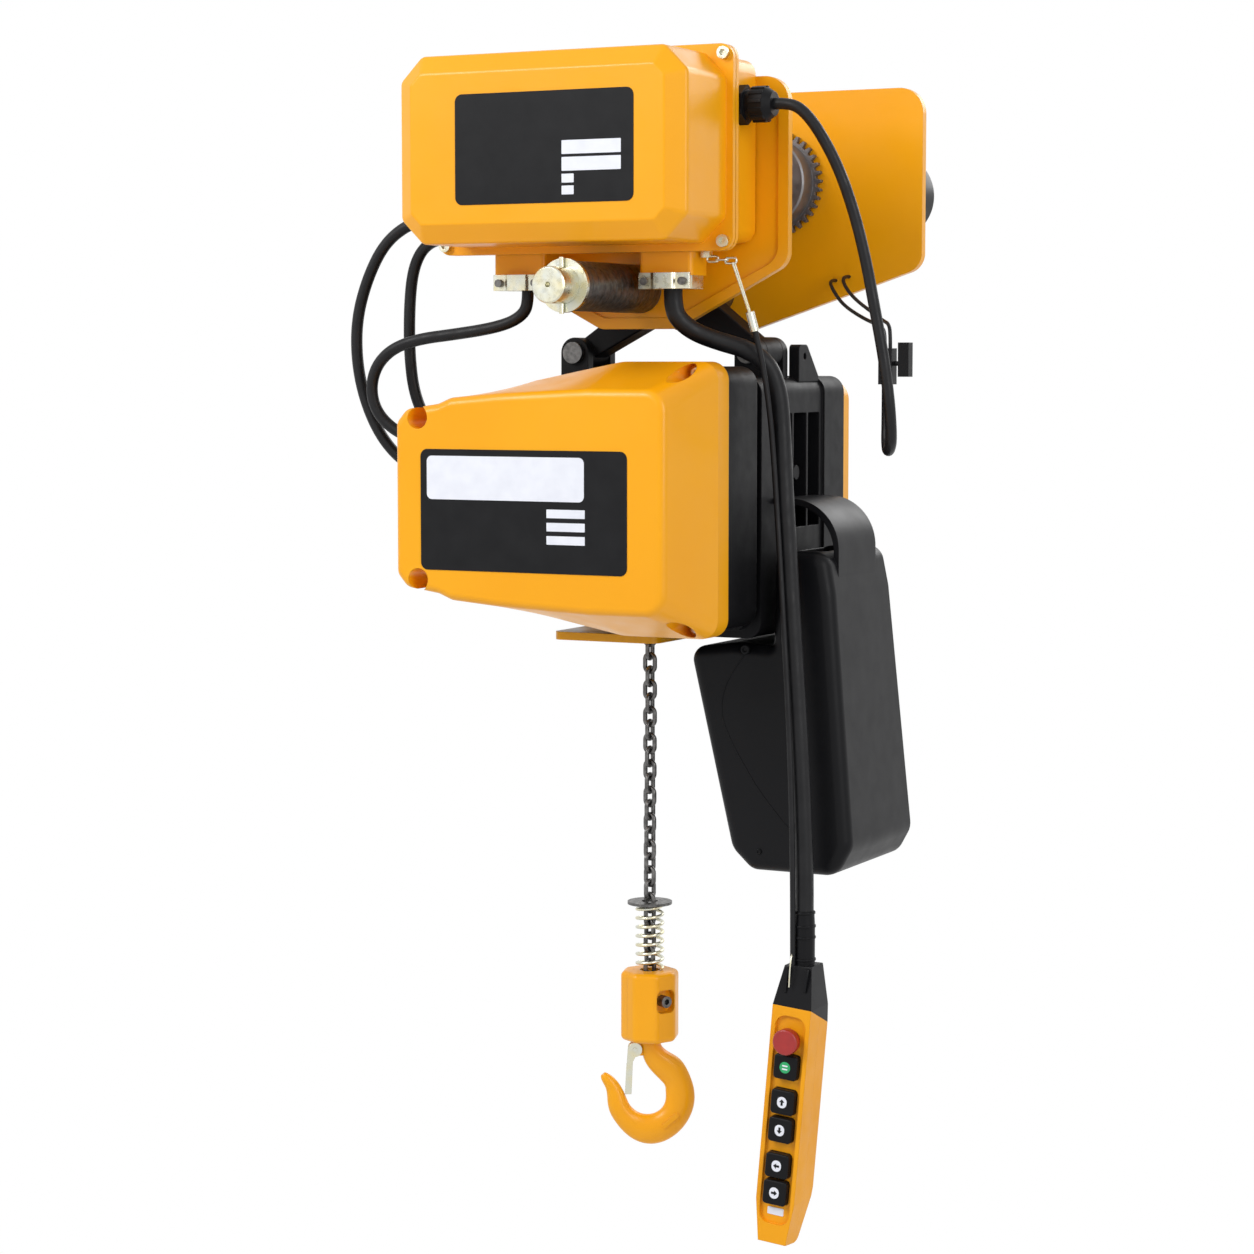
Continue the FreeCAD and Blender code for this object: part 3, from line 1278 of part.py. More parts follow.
def pendant():
    """Push-button pendant: case halves, boot, sleeve and six sprung buttons, built upright then leaned."""
    lean = turned(Y_AXIS, d.pendant_tilt)
    top = V(d.pendant_x, d.pendant_y, d.pendant_z)
    half_w = d.pendant_width / 2
    half_d = d.pendant_depth / 2
    long = d.pendant_length
    buttons = (("button_start", -65), ("button_up", -103.5), ("button_down", -134.5),
               ("button_left", -174), ("button_right", -204))
    for label, y_side in (("pendant_front", -1), ("pendant_back", 1)):
        body = body_of(label)
        if y_side < 0:
            side_shape = [(-half_d, 0), (0, -10.5), (0, -long + 1), (-half_d, -long + 4)]
        else:
            side_shape = [(0, -10.5), (half_d, -21), (half_d, -long + 60, 10), (9, -long + 2, 8), (0, -long + 1)]
        pad(body, "YZ_Plane", outline(side_shape), -half_w, "pendant_width", 1)
        for x_side in (-1, 1):
            wedge = outline([(x_side * (half_w + 1), -long + 50), (x_side * (half_w + 1), -long - 1),
                             (x_side * (half_w - 7), -long - 1), (x_side * half_w, -long + 50)])
            pocket(body, "XZ_Plane", wedge, -half_d - 1, 60, 1)
        if y_side < 0:
            tray = rectangle(-half_w + 5, half_w - 5, -240, -10, 12)
            pocket(body, "XZ_Plane", tray, -half_d, 4, 1)
            wells = circle(0, -36, d.stop_radius - 3)
            for name, z in buttons:
                reach = d.button_width / 2 + 0.4
                wells += rectangle(-reach, reach, z - reach, z + reach, 4.4)
            pocket(body, "XZ_Plane", wells, -half_d + 4, 9, 1)
        body.Placement = FreeCAD.Placement(top, lean)
    for name, z in buttons:
        reach = d.button_width / 2
        cap = body_of(name)
        pad(cap, "XZ_Plane", rectangle(-reach, reach, z - reach, z + reach, 4), -half_d + 6, 11, -1)
        soften(cap, 2, lambda edge: edge.BoundBox.YMax < -half_d - 4.5)
        cap.Placement = FreeCAD.Placement(top, lean)
    stop = body_of("stop_button")
    pad(stop, "XZ_Plane", circle(0, -36, d.stop_radius - 3.4), -half_d + 6, 10, -1)
    pad(stop, "XZ_Plane", circle(0, -36, d.stop_radius), -half_d - 3, 10, -1)
    soften(stop, 2, lambda edge: edge.BoundBox.YMax < -half_d - 12)
    stop.Placement = FreeCAD.Placement(top, lean)
    boot = piece_of("pendant_boot_cap")
    pad(boot, "YZ_Plane", outline([(-half_d, 0), (half_d, -21), (14, 46, 3), (-16, 46, 3)]), -half_w, "pendant_width", 1)
    for x_side in (-1, 1):
        wedge = outline([(x_side * (half_w + 1), -22), (x_side * (half_w + 1), 47), (x_side * 15, 47), (x_side * half_w, 0), (x_side * half_w, -22)])
        pocket(boot, "XZ_Plane", wedge, -half_d - 1, 60, 1)
    rise = math.tan(math.radians(d.pendant_tilt)) * 30
    level = outline([(-30, 44 - rise), (30, 44 + rise), (30, 60), (-30, 60)])
    pocket(boot, "XZ_Plane", level, -half_d - 1, 60, 1)
    boot.Placement = FreeCAD.Placement(top, lean)
    seat = top + lean.multVec(V(0, -1, 44))
    sleeve = piece_of("pendant_boot_sleeve")
    taper = d.sleeve_length - 16
    pad(sleeve, "XY_Plane", circle(0, 0, d.sleeve_radius), 0, taper, 1)
    loft(sleeve, "XY_Plane", [
        (circle(0, 0, d.sleeve_radius), taper),
        (circle(0, 0, d.cable_thick / 2 + 0.6), d.sleeve_length),
    ])
    move(sleeve, seat)
    keep(fuse("pendant_boot", [boot, sleeve]), "pendant_boot")
    print("the pendant cable ends at %.2f, %.2f, %.2f" % (seat.x, seat.y, seat.z + d.sleeve_length))


def cord(label, points, diameter):
    """A cord's tube: straight runs joined by arcs as large as their runs allow."""
    corners = [V(*point) for point in points]
    edges = []
    last = corners[0]
    least = None
    for index in range(1, len(corners) - 1):
        back = corners[index - 1] - corners[index]
        ahead = corners[index + 1] - corners[index]
        shorter = min(back.Length, ahead.Length)
        back.normalize()
        ahead.normalize()
        turn = math.pi - back.getAngle(ahead)
        reach = shorter * 0.45
        radius = reach / math.tan(turn / 2)
        least = radius if least is None else min(least, radius)
        start = corners[index] + back * reach
        end = corners[index] + ahead * reach
        inward = back + ahead
        inward.normalize()
        center = corners[index] + inward * (radius / math.cos(turn / 2))
        edges.append(Part.makeLine(last, start))
        edges.append(Part.Arc(start, center - inward * radius, end).toShape())
        last = end
    edges.append(Part.makeLine(last, corners[-1]))
    path = Part.Wire(edges)
    toward = corners[1] - corners[0]
    section = Part.Wire([Part.makeCircle(diameter / 2, corners[0], toward)])
    tube = path.makePipeShell([section], True, False)
    wanted = math.pi * diameter * diameter / 4 * path.Length
    share = tube.Volume / wanted
    print("%s: length %.0f mm, least radius %.0f mm, volume %.4f of its section times its length"
          % (label, path.Length, least, share))
    return tube


LEADS = (
    ((150, 90, -58), (150, 72, -58), (160, 56, -68), (182, 34, -86), (216, 4, -100), (246, -28, -108),
     (262, -46, -112), (267, -52, -120), (267, -52, -134)),
    ((166, 90, -54), (166, 72, -54), (174, 56, -64), (196, 34, -80), (228, 6, -95), (254, -24, -105),
     (268, -45, -108), (273, -52, -117), (273, -52, -134)),
)

CORDS = (
    ("pendant_cable", "cable_thick", (
        (66, -150, -72), (66, -150, -89), (70, -147, -103), (84, -136, -117), (107, -121, -127),
        (134, -109, -135), (154, -99, -151), (163, -92.5, -181), (165.5, -90.5, -222), (168, -90, -276),
        (172, -90, -336), (176.5, -90, -402), (181.5, -90, -470), (186.5, -90, -540), (190.5, -90, -606),
        (193.4, -90.4, -664), (194.83, -91, -706), (194.83, -91, -734.16),
    )),
    ("link_cable_front", "cable_thin", (
        (-109, -150, -72), (-109, -150, -86), (-115, -150, -97), (-131, -150, -106), (-158, -150, -112.5),
        (-200, -150, -118), (-246, -150, -123), (-280, -150, -133), (-302, -149.5, -152), (-310, -149, -178),
        (-304, -147.5, -203), (-286, -144, -222), (-264, -140.6, -232), (-246, -140, -234), (-232, -140, -234),
    )),
    ("link_cable_long", "cable_thin", (
        (-219, -132, 10), (-240, -132, 10), (-272, -132, 3), (-302, -132, -18), (-324, -132, -56),
        (-338, -132, -100), (-339, -131.5, -146), (-330, -130, -190), (-312, -127, -230), (-288, -121.5, -258),
        (-260, -118, -270), (-232, -118, -270),
    )),
    ("link_cable_short", "cable_thin", (
        (-219, -116, -12), (-236, -116, -12), (-254, -115.6, -17), (-268, -114.6, -31), (-277, -113.4, -54),
        (-281, -112.6, -92), (-281.5, -112, -138), (-278, -109.6, -180), (-268, -104, -210), (-254, -98.6, -227),
        (-242, -98, -232), (-232, -98, -232),
    )),
    ("supply_cable", "cable_supply", (
        (178, -140, 118), (194, -140, 118), (209, -139, 111), (226, -136.4, 90), (246, -131, 52),
        (262, -127, 6), (274, -124, -42), (283, -121, -92), (292, -118.6, -140), (297, -115, -182),
        (297, -108, -212), (292, -94, -234), (281, -75, -243), (272, -58, -236), (270, -52, -212), (270, -52, -172),
    )),
    ("strain_wire", "wire_strain", (
        (150, -126, -116), (153.6, -122.4, -134), (157.6, -117, -164), (161, -111, -204), (163, -106, -248),
        (166, -104, -300), (171, -104, -372), (176, -104, -450), (181, -104, -530), (184.5, -104, -610),
        (186.5, -104, -690), (187, -104, -750), (187, -103.5, -792.17),
    )),
)


def cords():
    """Every cord along its hand-chosen route."""
    for label, alias, points in CORDS:
        shaped(label, cord(label, points, getattr(d, alias)))
    leads = [cord("lead", points, d.lead_diameter) for points in LEADS]
    shaped("connector_leads", Part.makeCompound(leads))


side_plates()
wheels()
travel_drive()
axles()
suspension()
trolley_box()
box_fittings()
strain_anchor()
supply_connector()
hoist_covers()
gear_case()
yoke()
drive_inside()
chain_guide()
load_chain()
hook_block()
hook()
chain_bag()
pendant()
cords()
doc.recompute()

for obj in doc.Objects:
    if "Invalid" in obj.State or "Error" in obj.State:
        raise ValueError("%s (%s) failed: %s" % (obj.Label, obj.Name, obj.State))
for part in parts:
    if part.Shape.isNull() or not part.Shape.isValid():
        raise ValueError(part.Label + " has no valid shape")
for part in parts:
    part.Shape.exportStep("parts/%s.step" % part.Label)
print("%d nodes" % len(parts))
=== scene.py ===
"""Looks of the electric chain hoist: materials, cords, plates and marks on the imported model."""
import bpy
import bmesh
import math
from mathutils import Matrix, Vector


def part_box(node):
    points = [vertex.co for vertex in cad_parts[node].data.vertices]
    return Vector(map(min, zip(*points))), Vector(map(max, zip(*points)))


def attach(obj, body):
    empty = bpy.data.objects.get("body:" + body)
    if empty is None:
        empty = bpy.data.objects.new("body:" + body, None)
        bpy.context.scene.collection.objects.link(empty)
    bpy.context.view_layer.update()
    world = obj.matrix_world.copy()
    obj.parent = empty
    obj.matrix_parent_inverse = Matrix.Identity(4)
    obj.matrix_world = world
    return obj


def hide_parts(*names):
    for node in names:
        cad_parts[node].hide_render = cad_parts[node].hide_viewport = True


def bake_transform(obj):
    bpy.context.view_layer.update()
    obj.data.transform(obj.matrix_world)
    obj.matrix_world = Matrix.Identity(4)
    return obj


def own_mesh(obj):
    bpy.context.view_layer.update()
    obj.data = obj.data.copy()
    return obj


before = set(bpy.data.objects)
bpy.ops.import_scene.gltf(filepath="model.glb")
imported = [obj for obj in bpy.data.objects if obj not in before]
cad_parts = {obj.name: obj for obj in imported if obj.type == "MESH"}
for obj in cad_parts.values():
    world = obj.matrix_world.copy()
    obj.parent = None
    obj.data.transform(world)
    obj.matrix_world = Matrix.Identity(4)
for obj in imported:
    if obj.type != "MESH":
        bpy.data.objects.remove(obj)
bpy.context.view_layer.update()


def link_in(name, data):
    """An object with this data, linked in the scene."""
    piece = bpy.data.objects.new(name, data)
    bpy.context.scene.collection.objects.link(piece)
    return piece


# Camera

VIEW_TURN = math.radians(27)
VIEW_PITCH = math.radians(5)
VIEW_DISTANCE = 3.3595
VIEW_HEIGHT = -0.444
VIEW_SIDE = -0.058
LENS = 86.1
SENSOR_WIDTH = 36


def add_camera():
    """The photograph's view: from the right, a little above."""
    across = Vector((math.cos(VIEW_TURN), math.sin(VIEW_TURN), 0))
    level = math.cos(VIEW_PITCH)
    forward = Vector((-math.sin(VIEW_TURN) * level, math.cos(VIEW_TURN) * level, -math.sin(VIEW_PITCH)))
    aim = across * VIEW_SIDE + Vector((0, 0, VIEW_HEIGHT))
    data = bpy.data.cameras.new("camera")
    data.lens = LENS
    data.sensor_width = SENSOR_WIDTH
    camera = link_in("camera", data)
    camera.location = aim - forward * VIEW_DISTANCE
    camera.rotation_euler = forward.to_track_quat("-Z", "Y").to_euler()
    bpy.context.scene.camera = camera


# Materials

COAT_ROUGHNESS = 0.12
NOISE_DETAIL = 3.0
NOISE_ROUGHNESS = 0.5
NOISE_LOW = 0.3
NOISE_HIGH = 0.7
BEVEL_SAMPLES = 4


class Shader:
    """A material's node tree, with the few node groups that the finishes share."""

    def __init__(self, name, color, rough, metal=0.0, specular=0.5, coat=0.0):
        self.material = bpy.data.materials.new(name)
        self.material.use_nodes = True
        self.nodes = self.material.node_tree.nodes
        self.links = self.material.node_tree.links
        self.surface = self.nodes["Principled BSDF"]
        self.set("Base Color", (*color, 1))
        self.set("Roughness", rough)
        self.set("Metallic", metal)
        self.set("Specular IOR Level", specular)
        self.set("Coat Weight", coat)
        self.set("Coat Roughness", COAT_ROUGHNESS)
        self.color = color
        self.place = self.nodes.new("ShaderNodeTexCoord").outputs["Object"]

    def set(self, socket, value):
        """Put a value on one of the surface's sockets."""
        self.surface.inputs[socket].default_value = value

    def noise(self, scale):
        """Noise in the object's own space."""
        node = self.nodes.new("ShaderNodeTexNoise")
        node.inputs["Scale"].default_value = scale
        node.inputs["Detail"].default_value = NOISE_DETAIL
        node.inputs["Roughness"].default_value = NOISE_ROUGHNESS
        self.links.new(self.place, node.inputs["Vector"])
        return node.outputs["Fac"]

    def spread(self, value, low, high):
        """The middle range of a noise, as a number from low to high."""
        node = self.nodes.new("ShaderNodeMapRange")
        node.inputs["From Min"].default_value = NOISE_LOW
        node.inputs["From Max"].default_value = NOISE_HIGH
        node.inputs["To Min"].default_value = low
        node.inputs["To Max"].default_value = high
        self.links.new(value, node.inputs["Value"])
        return node.outputs["Result"]

    def vary_color(self, scale, other):
        """Soft patches of a second colour."""
        mix = self.nodes.new("ShaderNodeMix")
        mix.data_type = "RGBA"
        mix.inputs["A"].default_value = (*self.color, 1)
        mix.inputs["B"].default_value = (*other, 1)
        self.links.new(self.spread(self.noise(scale), 0, 1), mix.inputs["Factor"])
        self.links.new(mix.outputs["Result"], self.surface.inputs["Base Color"])

    def vary_rough(self, scale, low, high):
        """Roughness that drifts, as from handling."""
        self.links.new(self.spread(self.noise(scale), low, high), self.surface.inputs["Roughness"])

    def relief(self, bumps, edge=0.0):
        """Bumps as (scale, height in metres), over edges rounded in shading by so many metres."""
        last = None
        if edge:
            node = self.nodes.new("ShaderNodeBevel")
            node.samples = BEVEL_SAMPLES
            node.inputs["Radius"].default_value = edge
            last = node.outputs["Normal"]
        for scale, height in bumps:
            node = self.nodes.new("ShaderNodeBump")
            node.inputs["Strength"].default_value = 1
            node.inputs["Distance"].default_value = height
            self.links.new(self.noise(scale), node.inputs["Height"])
            if last:
                self.links.new(last, node.inputs["Normal"])
            last = node.outputs["Normal"]
        self.links.new(last, self.surface.inputs["Normal"])


def yellow_paint():
    """Glossy orange-yellow enamel with a faint orange peel."""
    shader = Shader("yellow_paint", (0.93, 0.385, 0.002), 0.36, specular=0.3, coat=0.12)
    shader.vary_color(6, (0.95, 0.415, 0.004))
    shader.vary_rough(30, 0.28, 0.40)
    shader.relief([(900, 0.00004), (120, 0.0001)], edge=0.0014)
    return shader.material


def yellow_plastic():
    """Moulded yellow plastic with a fine spark-eroded grain."""
    shader = Shader("yellow_plastic", (0.93, 0.385, 0.003), 0.42, specular=0.3)
    shader.vary_color(14, (0.88, 0.355, 0.003))
    shader.vary_rough(60, 0.36, 0.50)
    shader.relief([(2600, 0.00003)], edge=0.0012)
    return shader.material


def black_plastic():
    """Black moulded plastic with a satin grain."""
    shader = Shader("black_plastic", (0.005, 0.005, 0.006), 0.40, specular=0.15)
    shader.vary_color(9, (0.006, 0.006, 0.007))
    shader.vary_rough(40, 0.37, 0.43)
    shader.relief([(1800, 0.00003)], edge=0.0012)
    return shader.material


def black_casting():
    """Die-cast metal under black powder coat."""
    shader = Shader("black_casting", (0.005, 0.005, 0.006), 0.48, specular=0.15)
    shader.vary_color(20, (0.007, 0.007, 0.008))
    shader.vary_rough(55, 0.45, 0.55)
    shader.relief([(700, 0.00010), (90, 0.00008)], edge=0.002)
    return shader.material


def cable_jacket():
    """Black rubber cable jacket with scuffs along it."""
    shader = Shader("cable_jacket", (0.006, 0.006, 0.007), 0.36, specular=0.25)
    shader.vary_color(45, (0.011, 0.011, 0.012))
    shader.vary_rough(80, 0.34, 0.55)
    shader.relief([(500, 0.00008)])
    return shader.material


def zinc():
    """Yellow-passivated zinc with a faint iridescent drift."""
    shader = Shader("zinc", (0.72, 0.66, 0.44), 0.28, metal=1.0)
    shader.vary_color(70, (0.66, 0.68, 0.62))
    shader.vary_rough(160, 0.20, 0.38)
    shader.relief([(900, 0.00003)], edge=0.0006)
    return shader.material


def dark_steel():
    """Hardened steel with a dark oxide finish, rubbed brighter in places."""
    shader = Shader("dark_steel", (0.085, 0.083, 0.082), 0.38, metal=0.9)
    shader.vary_color(180, (0.20, 0.195, 0.19))
    shader.vary_rough(240, 0.28, 0.50)
    shader.relief([(1400, 0.00005)], edge=0.0005)
    return shader.material


def cast_iron():
    """Machined and cast iron of the wheels."""
    shader = Shader("cast_iron", (0.14, 0.14, 0.15), 0.5, metal=0.8)
    shader.vary_color(60, (0.22, 0.21, 0.21))
    shader.vary_rough(120, 0.38, 0.62)
    shader.relief([(500, 0.00015)], edge=0.001)
    return shader.material


def aluminium():
    """Cast aluminium with a grey lacquer."""
    shader = Shader("aluminium", (0.34, 0.35, 0.37), 0.48, metal=0.85)
    shader.vary_color(50, (0.42, 0.43, 0.45))
    shader.relief([(600, 0.0001)], edge=0.001)
    return shader.material


def gasket_rubber():
    """Matt sponge rubber."""
    shader = Shader("gasket_rubber", (0.012, 0.012, 0.012), 0.8, specular=0.2)
    shader.vary_color(300, (0.030, 0.030, 0.030))
    shader.relief([(1500, 0.0001)])
    return shader.material


def red_plastic():
    """Deep red moulded plastic."""
    shader = Shader("red_plastic", (0.42, 0.018, 0.014), 0.34, coat=0.2)
    shader.vary_color(60, (0.34, 0.014, 0.012))
    shader.relief([(1500, 0.00003)], edge=0.0006)
    return shader.material


def plate_black():
    """Black film of the two plates."""
    shader = Shader("plate_black", (0.008, 0.008, 0.009), 0.42, specular=0.15)
    shader.vary_color(40, (0.011, 0.011, 0.012))
    shader.vary_rough(90, 0.34, 0.46)
    return shader.material


def plate_white():
    """Silvered-white fields and inlays."""
    shader = Shader("plate_white", (0.86, 0.87, 0.92), 0.4, specular=0.3)
    shader.vary_color(60, (0.80, 0.81, 0.87))
    return shader.material


def mark_green():
    """Green inlay of the start button."""
    shader = Shader("mark_green", (0.02, 0.42, 0.14), 0.4)
    shader.vary_color(300, (0.02, 0.36, 0.12))
    return shader.material


FINISHES = {
    make.__name__: make()
    for make in (yellow_paint, yellow_plastic, black_plastic, black_casting, cable_jacket, zinc, dark_steel,
                 cast_iron, aluminium, gasket_rubber, red_plastic, plate_black, plate_white, mark_green)
}

NODE_FINISH = {
    "yellow_paint": (
        "front_side_plate", "rear_side_plate", "travel_gearbox", "trolley_case", "trolley_cover",
        "front_cover", "rear_cover", "chain_guide", "block_half_left", "block_half_right", "hook",
    ),
    "yellow_plastic": ("pendant_front", "pendant_back"),
    "black_plastic": (
        "travel_motor_cowl", "supply_gland", "box_glands", "body_glands", "supply_connector", "pendant_boot",
        "button_start", "button_up", "button_down", "button_left", "button_right", "chain_bag",
    ),
    "black_casting": ("gear_case", "yoke"),
    "cable_jacket": (
        "supply_cable", "connector_leads", "pendant_cable", "strain_wire", "link_cable_front",
        "link_cable_long", "link_cable_short",
    ),
    "zinc": (
        "suspension_shaft", "shaft_collar", "shaft_fasteners", "box_screws", "cable_saddles", "strain_anchor",
        "cover_screws", "hook_latch", "latch_pin",
    ),
    "dark_steel": (
        "travel_pinion", "wheel_axles", "shaft_spacers", "saddle_screws", "yoke_pins", "load_sprocket",
        "load_chain", "block_bolts", "limit_washer", "limit_spring",
    ),
    "cast_iron": ("idle_wheel_left", "idle_wheel_right", "drive_wheel_left", "drive_wheel_right"),
    "aluminium": ("travel_motor",),
    "gasket_rubber": ("box_gasket",),
    "red_plastic": ("stop_button",),
}


def dress(piece, finish):
    """Give a piece one of the finishes as its only material."""
    piece.data.materials.clear()
    piece.data.materials.append(FINISHES[finish])


def dress_nodes():
    """Give every CAD node its finish."""
    for finish, names in NODE_FINISH.items():
        for name in names:
            dress(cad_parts[name], finish)


# Mesh pieces

SMOOTH_BELOW = math.radians(35)


def smooth_faces(data):
    """Shade every face of a mesh smooth."""
    for face in data.polygons:
        face.use_smooth = True


def mesh_piece(name, mesh, finish, body):
    """An object from a bmesh, with its finish, that rides on a body."""
    data = bpy.data.meshes.new(name)
    mesh.to_mesh(data)
    mesh.free()
    piece = link_in(name, data)
    smooth_faces(data)
    data.set_sharp_from_angle(angle=SMOOTH_BELOW)
    dress(piece, finish)
    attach(piece, body)
    return piece


def rounded_corners(half_width, half_height, radius, steps=6):
    """Points of a rounded rectangle round the origin."""
    points = []
    for corner, (x, y) in enumerate(((1, 1), (-1, 1), (-1, -1), (1, -1))):
        for step in range(steps + 1):
            angle = math.radians(90 * (corner + step / steps))
            points.append((
                x * (half_width - radius) + radius * math.cos(angle),
                y * (half_height - radius) + radius * math.sin(angle),
            ))
    return points


def slab(points, front, back, edge):
    """A plate through the points (across, up), from a front to a back depth, with a chamfered front edge."""
    mesh = bmesh.new()
    middle = Vector((sum(p[0] for p in points), sum(p[1] for p in points))) / len(points)
    rings = []
    for depth, shrink in ((back, 0), (front + edge, 0), (front, edge)):
        ring = []
        for x, z in points:
            inward = middle - Vector((x, z))
            if shrink and inward.length > 0:
                x, z = Vector((x, z)) + inward.normalized() * shrink
            ring.append(mesh.verts.new((x, depth, z)))
        rings.append(ring)
    count = len(points)
    for outer, inner in zip(rings, rings[1:]):
        for index in range(count):
            after = (index + 1) % count
            mesh.faces.new((outer[index], outer[after], inner[after], inner[index]))
    mesh.faces.new(rings[-1])
    mesh.faces.new(list(reversed(rings[0])))
    bmesh.ops.recalc_face_normals(mesh, faces=mesh.faces)
    return mesh


def shifted(points, across, up):
    """Points (across, up), moved by so much."""
    return [(x + across, z + up) for x, z in points]


# Plates: each area is its left, right, low and high edge.

PLATE_THICK = 0.0008
PLATE_CORNER = 0.008
FIELD_THICK = 0.0003
FIELD_CORNER = 0.0006
WIDE_FIELD_CORNER = 0.006
PANEL_EDGE_SHARE = 0.4

BOX_PLATE = (-0.122, 0.086, 0.014, 0.128)
BOX_FIELDS = (
    (0.004, 0.072, 0.063, 0.077), (0.004, 0.072, 0.046, 0.060),
    (0.004, 0.018, 0.034, 0.043), (0.004, 0.018, 0.022, 0.031),
)
HOIST_PLATE = (-0.172, 0.0735, -0.368, -0.240)
HOIST_WIDE_FIELD = (-0.164, 0.024, -0.293, -0.247)
HOIST_FIELD_SIDES = (-0.020, 0.025)
HOIST_FIELD_TOP = -0.301
HOIST_FIELD_HEIGHT = 0.009
HOIST_FIELD_STEP = 0.0138
HOIST_FIELD_COUNT = 3


def panel(name, area, radius, surface, thick, finish, body):
    """A rounded plate that lies on a surface facing the front."""
    left, right, low, high = area
    points = rounded_corners((right - left) / 2, (high - low) / 2, radius)
    points = shifted(points, (left + right) / 2, (low + high) / 2)
    mesh = slab(points, surface - thick, surface, thick * PANEL_EDGE_SHARE)
    mesh_piece(name, mesh, finish, body)


def box_plate():
    """A black plate with four white fields, on the trolley's box."""
    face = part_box("trolley_cover")[0].y
    top = face - PLATE_THICK
    panel("box_plate", BOX_PLATE, PLATE_CORNER, face, PLATE_THICK, "plate_black", "trolley")
    for index, area in enumerate(BOX_FIELDS):
        panel("box_field_%d" % index, area, FIELD_CORNER, top, FIELD_THICK, "plate_white", "trolley")


def hoist_plate():
    """A black plate with a wide white field and a stack of short ones, on the hoist's cover."""
    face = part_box("front_cover")[0].y
    top = face - PLATE_THICK
    panel("hoist_plate", HOIST_PLATE, PLATE_CORNER, face, PLATE_THICK, "plate_black", "hoist")
    panel("hoist_field_wide", HOIST_WIDE_FIELD, WIDE_FIELD_CORNER, top, FIELD_THICK, "plate_white", "hoist")
    for index in range(HOIST_FIELD_COUNT):
        high = HOIST_FIELD_TOP - index * HOIST_FIELD_STEP
        area = (*HOIST_FIELD_SIDES, high - HOIST_FIELD_HEIGHT, high)
        panel("hoist_field_%d" % index, area, FIELD_CORNER, top, FIELD_THICK, "plate_white", "hoist")


# Thin trim and small fasteners

LATHE_STEPS = 32


def lathe(name, profile, place, finish, body):
    """A turned piece: the profile as (radius, height) is spun about its own Z axis, then placed."""
    steps = LATHE_STEPS
    mesh = bmesh.new()
    rings = []
    for radius, height in profile:
        if radius == 0:
            rings.append([mesh.verts.new((0, 0, height))])
            continue
        ring = []
        for step in range(steps):
            angle = 2 * math.pi * step / steps
            ring.append(mesh.verts.new((radius * math.cos(angle), radius * math.sin(angle), height)))
        rings.append(ring)
    for lower, upper in zip(rings, rings[1:]):
        for step in range(steps):
            after = (step + 1) % steps
            if len(upper) == 1:
                mesh.faces.new((lower[step], lower[after], upper[0]))
            elif len(lower) == 1:
                mesh.faces.new((lower[0], upper[after], upper[step]))
            else:
                mesh.faces.new((lower[step], lower[after], upper[after], upper[step]))
    bmesh.ops.recalc_face_normals(mesh, faces=mesh.faces)
    mesh.transform(place)
    return mesh_piece(name, mesh, finish, body)


def facing_front(x, y, z):
    """A turned piece's place on a surface that faces the front."""
    return Matrix.Translation((x, y, z)) @ Matrix.Rotation(math.radians(90), 4, "X")


def round_line(name, kind, diameter, points, sides, steps):
    """A curve of round section along the points; sides and steps say how finely it's divided."""
    data = bpy.data.curves.new(name, "CURVE")
    data.dimensions = "3D"
    data.bevel_depth = diameter / 2
    data.bevel_resolution = sides
    data.use_fill_caps = True
    data.resolution_u = steps
    spline = data.splines.new(kind)
    spline.points.add(len(points) - 1)
    for target, point in zip(spline.points, points):
        target.co = (*point, 1)
    spline.order_u = 3
    spline.use_endpoint_u = True
    return link_in(name, data)


def wire(name, diameter, points, finish, body):
    """A thin round line along a smooth spline."""
    piece = round_line(name, "NURBS", diameter, points, 3, 8)
    dress(piece, finish)
    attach(piece, body)


def bag_head(name, radius, x, y, z):
    """A small screw head with a dished socket, on the bag's front face."""
    profile = (
        (radius, 0), (radius, radius * 0.5), (radius * 0.85, radius * 0.65), (radius * 0.55, radius * 0.65),
        (radius * 0.5, radius * 0.3), (0, radius * 0.25),
    )
    lathe(name, profile, facing_front(x, y, z), "black_plastic", "hoist")


BAG_SEAM = (
    (0.1105, -0.4633), (0.0938, -0.4848), (0.0831, -0.5072), (0.0807, -0.5304), (0.0892, -0.5541),
    (0.1038, -0.5786), (0.1230, -0.6081), (0.1422, -0.6310), (0.1613, -0.6516), (0.1800, -0.6690),
)
SEAM_WIDTH = 0.0011
SEAM_RISE = 0.0001
BAG_BOLT_RADIUS = 0.0052
BAG_BOLT_UP = 0.004
BAG_STUD = (0.1270, -0.6800)
BAG_STUD_RADIUS = 0.0030


def bag_trim():
    """The bag's moulded seam, the bolt that it starts at and the small stud at its foot."""
    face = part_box("chain_bag")[0].y
    seam = [(x, face - SEAM_RISE, z) for x, z in BAG_SEAM]
    wire("bag_seam", SEAM_WIDTH, seam, "black_plastic", "hoist")
    x, z = BAG_SEAM[0]
    bag_head("bag_bolt", BAG_BOLT_RADIUS, x, face, z + BAG_BOLT_UP)
    x, z = BAG_STUD
    bag_head("bag_stud", BAG_STUD_RADIUS, x, face, z)


HOOK_PLACE = (-0.018, -0.036, -0.907)
HOOK_TURN = math.radians(27)
BOWL_MIDDLE = (-0.002, -0.062)
BOSS_REACH = 0.039
BOSS_AROUND = math.radians(-50)
BOSS_BACK = -0.0095
BOSS_EDGE = 0.0004
BOSS_ROUNDNESS = 0.98
BOSS_LAYERS = (
    ("hook_boss", 0.0125, 0.0040, -0.0117),
    ("hook_boss_panel", 0.0112, 0.0027, -0.0121),
)


